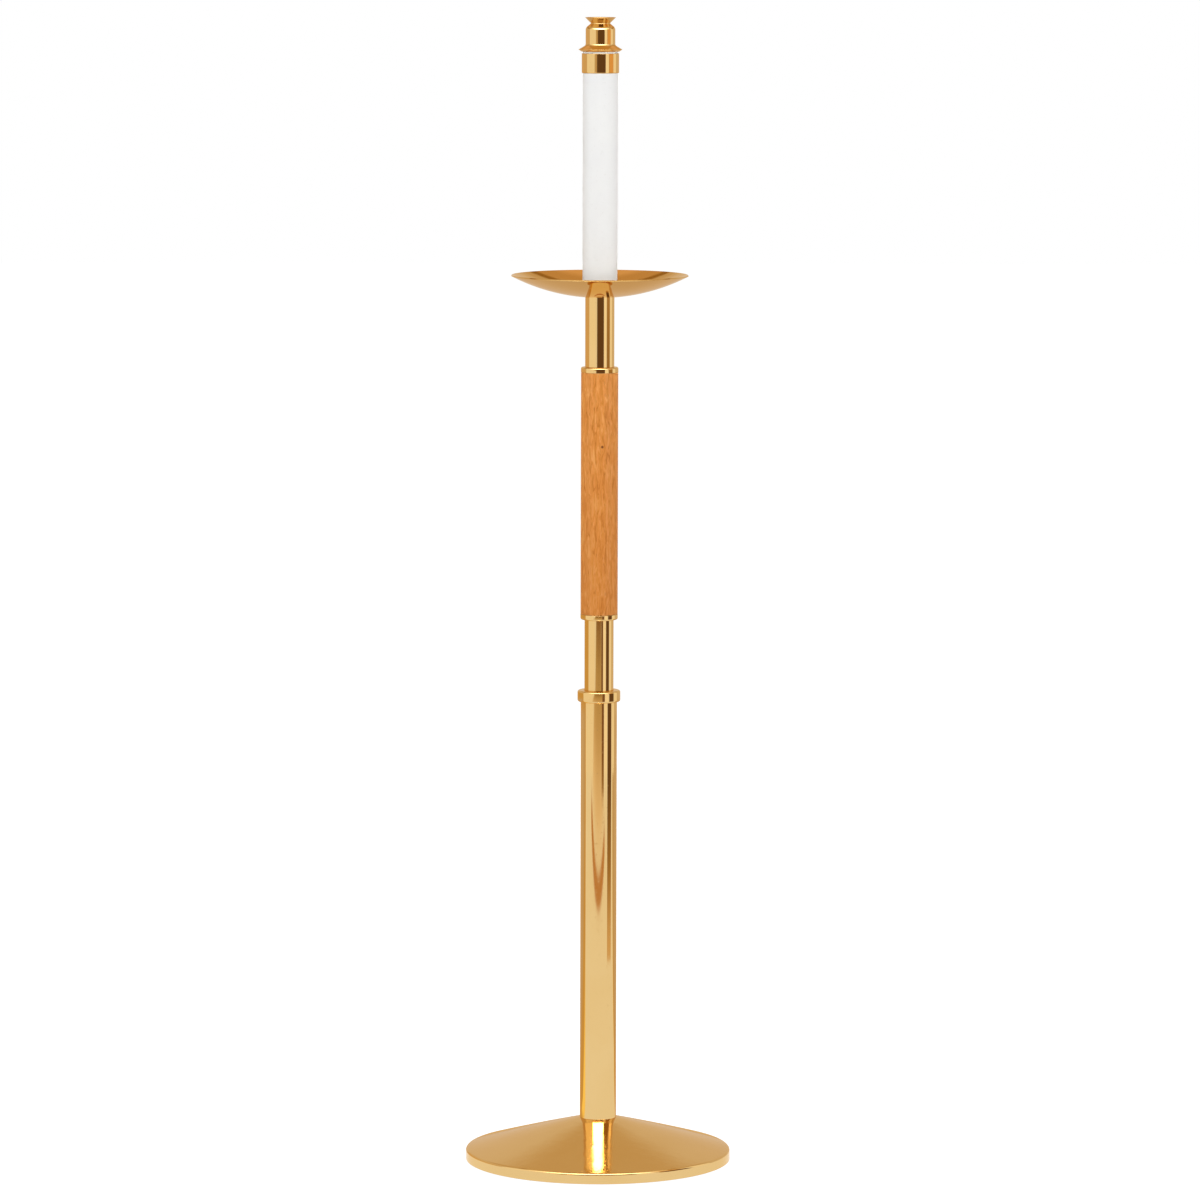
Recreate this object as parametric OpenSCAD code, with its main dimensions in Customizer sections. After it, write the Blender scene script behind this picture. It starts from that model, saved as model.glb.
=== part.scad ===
// Processional torch in its floor stand: a ballasted brass base with a socket tube, and a torch that
// lifts out of it, with a wooden grip, a drip pan, a spring-fed candle and a screwed burner.
// Millimetres, +Z up, origin on the floor under the axis.

/* [Base] */
// Diameter of the base
base_d = 244; // [180:1:320]
// Height of the upright band round the rim
rim_h = 9.8; // [6:0.1:14]
// Rise of the cone from the rim to the foot of the tube
cone_h = 29.1; // [22:0.1:60]
// How far the cone bulges out halfway between the rim and the tube
cone_bulge = 0.5; // [0:0.1:3]
// Thickness of the spun brass
base_wall = 2; // [1.2:0.1:3]
// Rounding of the rim's upper edge
rim_edge = 1.8; // [0.6:0.1:3]
// Thickness of the felt ring
felt_t = 2; // [1.5:0.1:4]
// How far the felt stands below the rim
felt_proud = 0.5; // [0.5:0.1:1.4]
// Width of the felt ring
felt_w = 30; // [15:1:50]
// How far the felt's edge lies inside the ballast's
felt_inset = 1; // [0.5:0.1:5]
// Gap between the ballast and the shell
ballast_gap = 0.4; // [0.2:0.1:1]

/* [Base bolt] */
// Diameter of the bolt's shank
bolt_d = 10; // [8:1:12]
// Width of the bolt's head across flats
bolt_flats = 17; // [13:1:19]
// Height of the bolt's head
bolt_head_h = 6.4; // [5:0.1:8]
// Diameter of the washer under the head
bolt_washer_d = 34; // [24:1:44]
// Thickness of the washer under the head
bolt_washer_t = 2.5; // [1.5:0.1:4]
// Diameter of the foot plug's spigot in the shell
foot_spigot_d = 18; // [14:0.5:22]
// Height of the foot plug inside the tube
foot_plug_h = 26; // [18:1:50]
// Room round the washer in the ballast's recess
recess_room = 3; // [1:0.1:8]
// Room under the bolt's head in the recess
head_room = 1.5; // [0.5:0.1:4]
// How far the bolt's tip stays below the foot plug's top
bolt_short = 6; // [3:0.5:10]
// Room beyond the bolt's tip in its hole
bolt_room = 1; // [0.5:0.1:2]

/* [Stand tube] */
// Height of the socket's mouth above the floor
mouth_z = 437; // [360:1:600]
// Wall of the stand tube
stand_wall = 3.2; // [2:0.1:5]
// Gap round the torch's tube in the socket
socket_gap = 0.15; // [0.1:0.05:0.4]
// Depth of the socket, from the mouth to the pad
socket_depth = 199; // [120:1:240]
// Thickness of the pad in the socket
pad_t = 3; // [2:0.1:6]
// Thickness of the socket's floor
socket_floor_t = 6; // [3:0.1:10]
// How far the mouth collar stands out from the tube
mouth_proud = 3; // [2.5:0.1:6]
// Height of the mouth collar
mouth_h = 10.5; // [9:0.1:20]
// Height of the collar's lip above the tube's end
mouth_lip = 3; // [2.5:0.1:4]
// Rounding of the collar's edges
mouth_edge = 1.8; // [0.6:0.1:2.4]
// Bevel at the mouth of the socket
mouth_lead = 0.8; // [0.4:0.1:1.5]

/* [Torch shaft] */
// Outer diameter of the torch's tubes
torch_tube_d = 26.7; // [24:0.1:32]
// Wall of the torch's tubes
torch_wall = 2.9; // [1.5:0.1:4]
// Length of the lower tube in view above the mouth
lower_show = 65.2; // [30:0.1:120]
// Height of a ferrule's ring
ferrule_h = 5; // [3:0.1:8]
// How far a ferrule's ring stands out from the grip
ferrule_proud = 0.15; // [0:0.05:2]
// Rounding of a ferrule's ring
ferrule_edge = 1.6; // [0.4:0.1:2]
// Length of a ferrule's spigots
ferrule_spigot = 8; // [4:0.1:14]
// Diameter of the wooden grip
grip_d = 34; // [30:0.1:44]
// Length of the wooden grip
grip_len = 222; // [120:1:320]
// Softening of the grip's ends
grip_edge = 0.5; // [0.2:0.1:1.5]
// Length of the upper tube
upper_len = 64; // [30:0.1:140]
// Diameter of the tie rod
rod_d = 8; // [6:0.5:10]
// Width of the tie nut across flats
nut_flats = 13; // [10:0.5:15]
// Height of the tie nut
nut_h = 6.5; // [5:0.1:8]
// Diameter of the tie washer
tie_washer_d = 16; // [15:0.5:18]
// Thickness of the tie washer
tie_washer_t = 1.6; // [1:0.1:2.5]
// Length of the end plug inside the lower tube
end_plug_len = 24; // [20:1:50]
// Height of the end plug's flange
end_flange_h = 4; // [2:0.1:8]
// Rounding of the shaft's lower edge
end_edge = 1.2; // [0.4:0.1:1.8]
// Room under the tie nut in the end plug
nut_room = 3; // [2.6:0.1:6]
// How far the rod's end stays inside the shaft
rod_inset = 2; // [1:0.1:2.5]
// Height of the top plug
top_plug_h = 12; // [8:0.5:24]

/* [Drip pan] */
// Diameter of the pan
pan_d = 162; // [110:1:220]
// Depth of the pan, from its flat to its rim
pan_depth = 20; // [14:0.1:36]
// Thickness of the spun brass
pan_wall = 1.2; // [0.8:0.1:2]
// Width of the pan's flat beyond the candle
pan_flat_margin = 1.2; // [0.6:0.1:4]

/* [Candle] */
// Diameter of the wax refill
refill_d = 22.2; // [18:0.1:26]
// Gap round the refill in the collar's thread
refill_gap = 0.4; // [0.3:0.1:1]
// Wall of the collar's threaded sleeve
sleeve_wall = 1.2; // [1:0.1:2]
// Wall of the white shell
shell_wall = 3.175; // [2:0.025:5]
// Length of the white shell
shell_len = 215; // [180:1:320]
// Height of the peg that holds the shell
peg_h = 40; // [25:1:60]
// Thickness of the peg's flange
peg_flange_t = 3; // [2:0.1:5]
// Rounding of the peg's head
peg_edge = 1.5; // [0.5:0.1:3]
// Length of the rod's thread in the peg, above the flange
rod_hold = 14; // [8:0.5:20]
// Gap round the peg in the shell
peg_gap = 0.1; // [0.05:0.01:0.2]
// Thickness of the plug in the shell
shell_plug_t = 8; // [5:0.1:12]
// Space between the peg and the plug
plug_space = 0.5; // [0.3:0.1:3]
// Wall of the brass band round the shell
band_wall = 1.125; // [0.8:0.025:2]
// Height of the brass band round the shell
band_h = 18; // [14:0.1:30]
// Height of the collar over the shell's end
collar_lip = 2; // [1.5:0.1:3]
// Rounding of the collar's edges
collar_edge = 0.7; // [0.2:0.1:0.75]
// How far the collar's sleeve reaches below the burner's spigot
sleeve_below = 1; // [0.5:0.1:3]
// Gap round the pusher in the shell
pusher_gap = 0.25; // [0.1:0.05:0.5]
// Height of the pusher
pusher_h = 9; // [6:0.1:14]
// Thickness of the pusher's floor
pusher_floor = 2; // [1:0.1:4]
// Diameter of the wick
wick_d = 2.2; // [1.5:0.1:3]
// Height of the refill's nose inside the burner
nose_h = 9; // [5:0.1:11]
// Width of the wax round the wick at the nose's tip
nose_rim = 1; // [0.5:0.1:3]
// Length of the wick above the nose
wick_show = 6; // [3:0.1:8]

/* [Feed spring] */
// Length of the spring as fitted
spring_len = 40; // [32:0.5:60]
// Outer diameter of the spring
spring_d = 21; // [14:0.5:22]
// Diameter of the spring's wire
wire_d = 1.0; // [0.8:0.1:1.4]
// Turns of the spring
spring_turns = 14; // [8:1:16]
// Space between the turns at the spring's ends
end_space = 0.5; // [0.4:0.1:1]

/* [Burner] */
// Depth of the burner's threaded spigot in the collar
thread_depth = 9; // [6:0.1:12]
// Gap of the thread
thread_gap = 0.1; // [0.05:0.01:0.2]
// Wall of the burner's spigot
spigot_wall = 2.9; // [2:0.1:4]
// Thickness of the white washer
heat_washer_t = 1.5; // [1:0.1:3]
// Diameter of the burner's underside
under_d = 34.4; // [32.5:0.1:38]
// Diameter of the brim
brim_d = 40.2; // [38.5:0.1:48]
// Height of the brim's edge above the underside
brim_z = 1.9; // [1:0.1:4]
// Height of the brim's cone
brim_cone_h = 3.9; // [2:0.1:10]
// Diameter of the burner's body
burner_d = 27; // [24.5:0.1:34]
// Height of the burner's straight body
burner_body_h = 15.9; // [10:0.1:30]
// Height of the shoulder up to the neck
shoulder_h = 3.9; // [3:0.1:8]
// Diameter of the neck
neck_d = 17.2; // [15.5:0.1:20]
// Height of the flared mouth above the neck
flare_h = 5.5; // [3:0.1:10]
// Diameter of the flared mouth
flare_d = 28.4; // [22:0.1:34]
// Wall of the flared mouth
flare_wall = 1.6; // [1:0.1:2]
// Rounding of the shoulder
shoulder_edge = 2; // [0.6:0.1:2.4]

/* [Hidden] */
$fn = 96;

// Clearances shared by the joints of the assembly
joint_gap = 0.05;
bolt_gap = 0.3;
face_gap = 0.3;
past = 1;
pan_fn = 240;
cone_steps = 12;

// Base: heights and the slope of the cone
base_r = base_d / 2;
rim_z = felt_proud;
rim_top_z = rim_z + rim_h;
foot_z = rim_top_z + cone_h;
bore_r = torch_tube_d / 2 + socket_gap;
stand_r = bore_r + stand_wall;
slope = atan2(cone_h, base_r - stand_r);
recess_r = bolt_washer_d / 2 + bolt_gap + recess_room;
recess_h = bolt_washer_t + bolt_head_h + head_room;
ballast_r = base_r - base_wall - ballast_gap;
felt_r = ballast_r - felt_inset;
bolt_hole_r = bolt_d / 2 + bolt_gap;
bolt_tip_z = foot_z + foot_plug_h - bolt_short;

// Stand: socket
mouth_r = stand_r + mouth_proud;
tube_end_z = mouth_z - mouth_lip;
pad_z = mouth_z - socket_depth;
pad_r = bore_r - face_gap;

// Torch: heights of the shaft
torch_r = torch_tube_d / 2;
torch_bore_r = torch_r - torch_wall;
plug_r = torch_bore_r - joint_gap;
torch_z = pad_z + pad_t;
lower_tube_z = torch_z + end_flange_h;
lower_ring_z = mouth_z + lower_show;
grip_z = lower_ring_z + ferrule_h;
grip_top_z = grip_z + grip_len;
upper_tube_z = grip_top_z + ferrule_h;
pan_z = upper_tube_z + upper_len;
ring_r = grip_d / 2 + ferrule_proud;
rod_hole_r = rod_d / 2 + joint_gap;
nut_recess_r = tie_washer_d / 2 + bolt_gap;
nut_recess_h = tie_washer_t + nut_h + nut_room;
rod_z = torch_z + rod_inset;

// Candle: radii from the refill outwards, heights from the pan upwards
refill_r = refill_d / 2;
thread_r = refill_r + refill_gap;
shell_bore_r = thread_r + sleeve_wall;
shell_r = shell_bore_r + shell_wall;
band_r = shell_r + band_wall;
pan_r = pan_d / 2;
flat_r = max(shell_r, torch_r) + pan_flat_margin;
flange_z = pan_z + pan_wall;
shell_z = flange_z + peg_flange_t;
rod_top_z = shell_z + rod_hold;
shell_top_z = shell_z + shell_len;
collar_top_z = shell_top_z + collar_lip;
plug_z = shell_z + peg_h + plug_space;
spring_z = plug_z + shell_plug_t;
pusher_z = spring_z + spring_len;
refill_z = pusher_z + pusher_floor;
burner_z = collar_top_z + heat_washer_t;
spigot_z = collar_top_z - thread_depth;
refill_top_z = spigot_z - face_gap;
nose_z = refill_top_z + nose_h;
wick_top_z = nose_z + wick_show;

// Burner: radii and heights
spigot_r = thread_r - thread_gap;
burner_bore_r = spigot_r - spigot_wall;
throat_r = neck_d / 2 - flare_wall;
brim_top_z = burner_z + brim_z + brim_cone_h;
body_top_z = brim_top_z + burner_body_h;
neck_z = body_top_z + shoulder_h;
burner_top_z = neck_z + flare_h;

// Pan: the sphere through the edge of the flat and the rim
pan_centre = (pan_r * pan_r - flat_r * flat_r + pan_depth * pan_depth) / (2 * pan_depth);
pan_sphere_r = norm([flat_r, pan_centre]);

// Spring: the path of the wire's centre, closer wound at both ends
spring_path_r = (spring_d - wire_d) / 2;
end_pitch = wire_d + end_space;
path_h = spring_len - wire_d - 2 * face_gap;
mid_pitch = (path_h - 2 * end_pitch) / (spring_turns - 2);
rings_per_turn = 8;
wire_sides = 6;
function climb(t) =
  t < 1 ? t * end_pitch
  : t < spring_turns - 1 ? end_pitch + (t - 1) * mid_pitch
  : path_h - (spring_turns - t) * end_pitch;
function on_spring(t) = [
  spring_path_r * cos(360 * t),
  spring_path_r * sin(360 * t),
  spring_z + face_gap + wire_d / 2 + climb(t)
];
function on_wire(t, a) =
  on_spring(t) + wire_d / 2 * [cos(a) * cos(360 * t), cos(a) * sin(360 * t), sin(a)];
spring_rings = spring_turns * rings_per_turn;
half_turn = rings_per_turn / 2;
spring_gap = min([
  for (i = [0:spring_rings], j = [i + half_turn:spring_rings])
    norm(on_spring(j / rings_per_turn) - on_spring(i / rings_per_turn))
]) - wire_d;
echo(feed_spring_least_gap = spring_gap);

// The base's skin, moved inwards by a depth: the edge of its rim and the edge of its flat top
function skin_rim(depth, lean = slope) = [base_r - depth, rim_top_z + depth * tan(lean) - depth / cos(lean)];
function skin_top(depth) = [stand_r - (depth / cos(slope) - depth) / tan(slope), foot_z - depth];

// A point on the bulged skin, from its flat top to its rim, and the lean of the skin at the rim
function on_cone(depth, t) =
  (1 - t) * skin_top(depth) + t * skin_rim(depth) + 4 * cone_bulge * t * (1 - t) * [sin(slope), cos(slope)];
by_rim = on_cone(0, 1 - 1 / cone_steps);
rim_lean = atan2(by_rim[1] - rim_top_z, base_r - by_rim[0]);

// Half section of a ring
module band(r_in, r_out, z_low, z_high) {
  translate([r_in, z_low])
    square([r_out - r_in, z_high - z_low]);
}

// What a rounded edge takes off a half section: the outer corner at radius r and height z
module edge_cut(r, z, e, up = true) {
  translate([r - e, z - (up ? e : -e)])
    mirror([0, up ? 0 : 1])
      difference() {
        square(e + past);
        circle(e);
      }
}

// A bevel on an inner edge, as a half section: a mouth that widens upwards or downwards
module lead_in(r, z, e, up = true) {
  reach = up ? past : -past;
  depth = up ? -e : e;
  polygon([[0, z + depth], [r, z + depth], [r + e, z], [r + e, z + reach], [0, z + reach]]);
}

// A hexagonal prism with the given width across flats
module hex_bar(flats, z_low, z_high) {
  translate([0, 0, z_low])
    cylinder(d = flats / cos(30), h = z_high - z_low, $fn = 6);
}

// Spun cone with an upright rim and a flat top that the tube stands on
module base_shell() {
  edge = min(rim_edge, rim_h / 2);
  edge_c = skin_rim(edge, rim_lean);
  color("#c9a25e")
    rotate_extrude()
      difference() {
        polygon([
          [foot_spigot_d / 2 + joint_gap, foot_z],
          for (i = [0:cone_steps]) on_cone(0, i / cone_steps),
          [base_r, rim_z],
          [base_r - base_wall, rim_z],
          for (i = [cone_steps:-1:0]) on_cone(base_wall, i / cone_steps),
          [foot_spigot_d / 2 + joint_gap, foot_z - base_wall]
        ]);
        difference() {
          polygon([
            edge_c,
            edge_c + [2 * edge, 0],
            edge_c + [2 * edge, 2 * edge],
            edge_c + 2 * edge * [sin(rim_lean), cos(rim_lean)]
          ]);
          translate(edge_c)
            circle(edge);
        }
      }
}

// Cast disc that fills the cone, with a recess below for the bolt's head
module ballast_weight() {
  depth = base_wall + ballast_gap;
  color("#3a3a3c")
    rotate_extrude()
      difference() {
        polygon([
          [bolt_hole_r, felt_t],
          [ballast_r, felt_t],
          skin_rim(depth),
          [skin_top(depth)[0], foot_z - base_wall],
          [bolt_hole_r, foot_z - base_wall]
        ]);
        band(0, recess_r, 0, felt_t + recess_h);
      }
}

// Ring of felt glued under the ballast
module felt_ring() {
  color("#2d4a36")
    rotate_extrude()
      band(felt_r - felt_w, felt_r, 0, felt_t);
}

// Plain washer in the ballast's recess
module base_washer() {
  top = felt_t + recess_h;
  color("#a9abae")
    rotate_extrude()
      band(bolt_hole_r, bolt_washer_d / 2, top - bolt_washer_t, top);
}

// Hexagon bolt from below into the foot plug
module base_bolt() {
  seat = felt_t + recess_h - bolt_washer_t;
  color("#8f9296") {
    hex_bar(bolt_flats, seat - bolt_head_h, seat);
    translate([0, 0, seat])
      cylinder(d = bolt_d, h = bolt_tip_z - seat);
  }
}

// Turned plug soldered in the tube's foot, with a spigot that centres it on the shell
module foot_plug() {
  color("#b08d4c")
    rotate_extrude()
      difference() {
        union() {
          band(0, bore_r - joint_gap, foot_z, foot_z + foot_plug_h);
          band(0, foot_spigot_d / 2, foot_z - base_wall, foot_z + past);
        }
        band(0, bolt_d / 2 + joint_gap, 0, bolt_tip_z + bolt_room);
      }
}

// Pipe between the base and the mouth collar
module stand_tube() {
  color("#d9b271")
    rotate_extrude()
      band(bore_r, stand_r, foot_z, tube_end_z);
}

// Disc soldered across the tube, which carries the torch
module socket_floor() {
  color("#b08d4c")
    rotate_extrude()
      band(0, bore_r - joint_gap, pad_z - socket_floor_t, pad_z);
}

// Turned collar over the tube's end, rounded outside, with a lip of the same bore as the tube
module mouth_collar() {
  color("#d9b271")
    rotate_extrude()
      difference() {
        band(bore_r, mouth_r, mouth_z - mouth_h, mouth_z);
        band(0, stand_r + joint_gap, 0, tube_end_z);
        edge_cut(mouth_r, mouth_z, mouth_edge);
        edge_cut(mouth_r, mouth_z - mouth_h, mouth_edge, up = false);
        lead_in(bore_r, mouth_z, mouth_lead);
      }
}

// Cushion disc that lies in the socket under the torch
module socket_pad() {
  color("#4a3a2c")
    rotate_extrude()
      band(0, pad_r, pad_z, pad_z + pad_t);
}

// Turned plug in the lower end of the shaft, hollow below for the tie nut
module end_plug() {
  color("#b08d4c")
    rotate_extrude()
      difference() {
        union() {
          band(0, torch_r, torch_z, lower_tube_z);
          band(0, plug_r, lower_tube_z, lower_tube_z + end_plug_len);
        }
        band(0, nut_recess_r, 0, torch_z + nut_recess_h);
        band(0, rod_hole_r, 0, lower_tube_z + end_plug_len + past);
        edge_cut(torch_r, torch_z, end_edge, up = false);
      }
}

module tie_washer() {
  top = torch_z + nut_recess_h;
  color("#a9abae")
    rotate_extrude()
      band(rod_hole_r, tie_washer_d / 2, top - tie_washer_t, top);
}

module tie_nut() {
  top = torch_z + nut_recess_h - tie_washer_t;
  color("#8f9296")
    difference() {
      hex_bar(nut_flats, top - nut_h, top);
      translate([0, 0, top - nut_h - past])
        cylinder(r = rod_hole_r, h = nut_h + 2 * past);
    }
}

// Rod that pulls the shaft together from the end plug to the candle peg
module tie_rod() {
  color("#8f9296")
    translate([0, 0, rod_z])
      cylinder(d = rod_d, h = rod_top_z - rod_z);
}

// Pipe that goes into the socket
module lower_tube() {
  color("#d9b271")
    rotate_extrude()
      band(torch_bore_r, torch_r, lower_tube_z, lower_ring_z);
}

// Ring between a tube and the grip, with a spigot into each; the tube's side is up at height z
module ferrule(z) {
  edge = min(ferrule_edge, ferrule_h / 2);
  color("#d9b271")
    translate([0, 0, z])
      rotate_extrude()
        difference() {
          union() {
            band(rod_hole_r, ring_r, 0, ferrule_h);
            band(rod_hole_r, plug_r, -ferrule_spigot, ferrule_h + ferrule_spigot);
          }
          edge_cut(ring_r, ferrule_h, edge);
        }
}

module lower_ferrule() {
  translate([0, 0, grip_z])
    mirror([0, 0, 1])
      ferrule(0);
}

module upper_ferrule() {
  ferrule(grip_top_z);
}

// Turned handle, bored through for the rod and counterbored for the ferrules
module wood_grip() {
  spigot_hole_r = plug_r + joint_gap;
  spigot_hole_h = ferrule_spigot + face_gap;
  color("#d78c48")
    rotate_extrude()
      difference() {
        band(rod_hole_r + bolt_gap, grip_d / 2, grip_z, grip_top_z);
        band(0, spigot_hole_r, grip_z - past, grip_z + spigot_hole_h);
        band(0, spigot_hole_r, grip_top_z - spigot_hole_h, grip_top_z + past);
        edge_cut(grip_d / 2, grip_top_z, grip_edge);
        edge_cut(grip_d / 2, grip_z, grip_edge, up = false);
      }
}

// Pipe between the grip and the pan
module upper_tube() {
  color("#d9b271")
    rotate_extrude()
      band(torch_bore_r, torch_r, upper_tube_z, pan_z);
}

// Disc in the upper tube, flush with its end, that backs the pan
module top_plug() {
  color("#b08d4c")
    rotate_extrude()
      band(rod_hole_r, plug_r, pan_z - top_plug_h, pan_z);
}

// Spun bowl with a flat in the middle, clamped between tube and peg
module drip_pan() {
  color("#cfa564")
    translate([0, 0, pan_z])
      rotate_extrude()
        difference() {
          intersection() {
            translate([0, pan_centre])
              circle(pan_sphere_r, $fn = pan_fn);
            band(0, pan_r + past, 0, pan_depth);
          }
          intersection() {
            translate([0, pan_centre])
              circle(pan_sphere_r - pan_wall, $fn = pan_fn);
            band(0, pan_r + past, pan_wall, pan_depth + past);
          }
          band(0, rod_hole_r, -past, pan_wall + past);
        }
}

// Flanged peg: tapped below for the rod, with a bevelled head that the shell drops over
module candle_peg() {
  peg_r = shell_bore_r - peg_gap;
  color("#b08d4c")
    rotate_extrude()
      difference() {
        union() {
          band(0, shell_r, flange_z, shell_z);
          band(0, peg_r, shell_z, shell_z + peg_h);
        }
        band(0, rod_hole_r, 0, rod_top_z + face_gap);
        edge_cut(peg_r, shell_z + peg_h, peg_edge);
      }
}

// White tube of the candle
module candle_shell() {
  color("#f0f0ee")
    rotate_extrude()
      band(shell_bore_r, shell_r, shell_z, shell_top_z);
}

// Partition glued in the shell: the spring stands on it
module shell_plug() {
  color("#e2e2de")
    rotate_extrude()
      band(0, shell_bore_r - joint_gap, plug_z, plug_z + shell_plug_t);
}

// Compression spring: one tube of wire swept along the path
module feed_spring() {
  points = [
    for (i = [0:spring_rings], s = [0:wire_sides - 1])
      on_wire(i / rings_per_turn, s * 360 / wire_sides)
  ];
  sides = [
    for (i = [0:spring_rings - 1], s = [0:wire_sides - 1])
      let (a = i * wire_sides + s, b = i * wire_sides + (s + 1) % wire_sides)
        each [[a, b, b + wire_sides], [a, b + wire_sides, a + wire_sides]]
  ];
  last = spring_rings * wire_sides;
  ends = [
    for (s = [1:wire_sides - 2])
      each [[0, s + 1, s], [last, last + s, last + s + 1]]
  ];
  color("#b9bcc0")
    polyhedron(points, concat(sides, ends));
}

// Cup that carries the refill up the shell
module pusher() {
  color("#d8d8d4")
    rotate_extrude()
      difference() {
        band(0, shell_bore_r - pusher_gap, pusher_z, pusher_z + pusher_h);
        band(0, refill_r + joint_gap, refill_z, refill_z + pusher_h);
      }
}

// Wax candle with a tapered nose inside the burner
module wax_refill() {
  nose_r = burner_bore_r - face_gap;
  color("#f3ead2")
    rotate_extrude()
      polygon([
        [wick_d / 2 + joint_gap, refill_z],
        [refill_r, refill_z],
        [refill_r, refill_top_z],
        [nose_r, refill_top_z],
        [wick_d / 2 + nose_rim, nose_z],
        [wick_d / 2 + joint_gap, nose_z]
      ]);
}

module wick() {
  color("#e9e2cf")
    translate([0, 0, refill_z])
      cylinder(d = wick_d, h = wick_top_z - refill_z);
}

// Band outside the shell, lip over its end and threaded sleeve inside it, turned in one piece
module shell_collar() {
  sleeve_z = spigot_z - sleeve_below;
  color("#d9b271")
    rotate_extrude()
      difference() {
        union() {
          band(thread_r, band_r, shell_top_z, collar_top_z);
          band(shell_r + joint_gap, band_r, collar_top_z - band_h, shell_top_z + past);
          band(thread_r, shell_bore_r - joint_gap, sleeve_z, shell_top_z + past);
        }
        edge_cut(band_r, collar_top_z, collar_edge);
        edge_cut(band_r, collar_top_z - band_h, collar_edge, up = false);
      }
}

// White washer that keeps the burner's heat off the shell
module heat_washer() {
  color("#f4f4f2")
    rotate_extrude()
      band(thread_r, shell_r, collar_top_z, burner_z);
}

// Turned crown: spigot, brim, straight body, neck and flared mouth, hollow all through
module burner() {
  shoulder_slope = atan2(shoulder_h, (burner_d - neck_d) / 2);
  body_r = burner_d / 2;
  edge_c = [body_r - shoulder_edge, body_top_z - shoulder_edge * tan((90 - shoulder_slope) / 2)];
  color("#d9b271")
    rotate_extrude()
      difference() {
        polygon([
          [burner_bore_r, spigot_z],
          [spigot_r, spigot_z],
          [spigot_r, burner_z],
          [under_d / 2, burner_z],
          [brim_d / 2, burner_z + brim_z],
          [body_r, brim_top_z],
          [body_r, body_top_z],
          [neck_d / 2, neck_z],
          [flare_d / 2, burner_top_z],
          [flare_d / 2 - flare_wall, burner_top_z],
          [throat_r, neck_z],
          [throat_r, body_top_z],
          [burner_bore_r, body_top_z - shoulder_h]
        ]);
        difference() {
          polygon([
            edge_c,
            edge_c + [2 * shoulder_edge, 0],
            edge_c + [2 * shoulder_edge, 2 * shoulder_edge],
            edge_c + 2 * shoulder_edge * [sin(shoulder_slope), cos(shoulder_slope)]
          ]);
          translate(edge_c)
            circle(shoulder_edge);
        }
      }
}

felt_ring();
ballast_weight();
base_shell();
base_washer();
base_bolt();
foot_plug();
stand_tube();
socket_floor();
mouth_collar();
socket_pad();
end_plug();
tie_nut();
tie_washer();
tie_rod();
lower_tube();
lower_ferrule();
wood_grip();
upper_ferrule();
upper_tube();
top_plug();
drip_pan();
candle_peg();
candle_shell();
shell_plug();
feed_spring();
pusher();
wax_refill();
wick();
shell_collar();
heat_washer();
burner();
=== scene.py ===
import math

import bmesh
import bpy
from mathutils import Matrix, Vector


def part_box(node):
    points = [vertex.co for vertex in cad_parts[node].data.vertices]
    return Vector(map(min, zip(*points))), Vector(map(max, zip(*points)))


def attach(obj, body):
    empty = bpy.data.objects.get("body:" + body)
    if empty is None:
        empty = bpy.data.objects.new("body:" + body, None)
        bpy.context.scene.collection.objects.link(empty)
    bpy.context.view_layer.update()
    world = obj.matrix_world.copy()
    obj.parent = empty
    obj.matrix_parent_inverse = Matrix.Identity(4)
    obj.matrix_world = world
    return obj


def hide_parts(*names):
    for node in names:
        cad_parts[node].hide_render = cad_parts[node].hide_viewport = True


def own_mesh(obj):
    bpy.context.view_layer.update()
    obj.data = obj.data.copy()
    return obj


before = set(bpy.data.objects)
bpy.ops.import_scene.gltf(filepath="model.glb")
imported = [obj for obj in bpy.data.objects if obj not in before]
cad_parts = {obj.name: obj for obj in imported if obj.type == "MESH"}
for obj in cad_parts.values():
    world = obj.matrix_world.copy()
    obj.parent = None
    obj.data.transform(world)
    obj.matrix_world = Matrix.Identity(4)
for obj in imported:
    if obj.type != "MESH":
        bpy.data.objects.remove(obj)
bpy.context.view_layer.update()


# The base shell: a cone of spun brass with an upright rim and a flat top that the tube stands on,
# polished all over. The later brass pieces share its finish and the way it is made: an outline of
# corners, each with its rounding, turned round the axis.
TURN_STEPS = 160
ROUNDING_STEPS = 5
SHARP_ANGLE = math.radians(35)
SAME_PLACE = 1e-7


def sweep_round(shape, items, angle, steps, rise=0.0, closed=False):
    """Sweeps part of a shape round the axis, a little higher at each step, and returns its last place."""
    made = bmesh.ops.spin(shape, geom=items, cent=(0, 0, 0), axis=(0, 0, 1), dvec=(0, 0, rise),
                          angle=angle, steps=steps, use_merge=closed)
    return made["geom_last"]


def spin_outline(shape, outline, steps=TURN_STEPS):
    """Adds the body turned from a closed outline of (radius, height, rounding) corners."""
    corners = [shape.verts.new((radius, 0, height)) for radius, height, _ in outline]
    shape.faces.new(corners)
    for corner, (_, _, rounding) in zip(corners, outline):
        if rounding:
            bmesh.ops.bevel(shape, geom=[corner], offset=rounding, offset_type="OFFSET",
                            segments=ROUNDING_STEPS, profile=0.5, affect="VERTICES", material=-1)
    section = [face for face in shape.faces if len(face.verts) >= len(outline)
               and all(abs(vert.co.y) < SAME_PLACE for vert in face.verts)]
    edges = [edge for face in section for edge in face.edges]
    bmesh.ops.delete(shape, geom=section, context="FACES_ONLY")
    on_axis = [edge for edge in edges if all(vert.co.x < SAME_PLACE for vert in edge.verts)]
    edges = [edge for edge in edges if edge not in on_axis]
    bmesh.ops.delete(shape, geom=on_axis, context="EDGES_FACES")
    verts = list({vert for edge in edges for vert in edge.verts})
    sweep_round(shape, verts + edges, 2 * math.pi, steps, closed=True)


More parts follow.
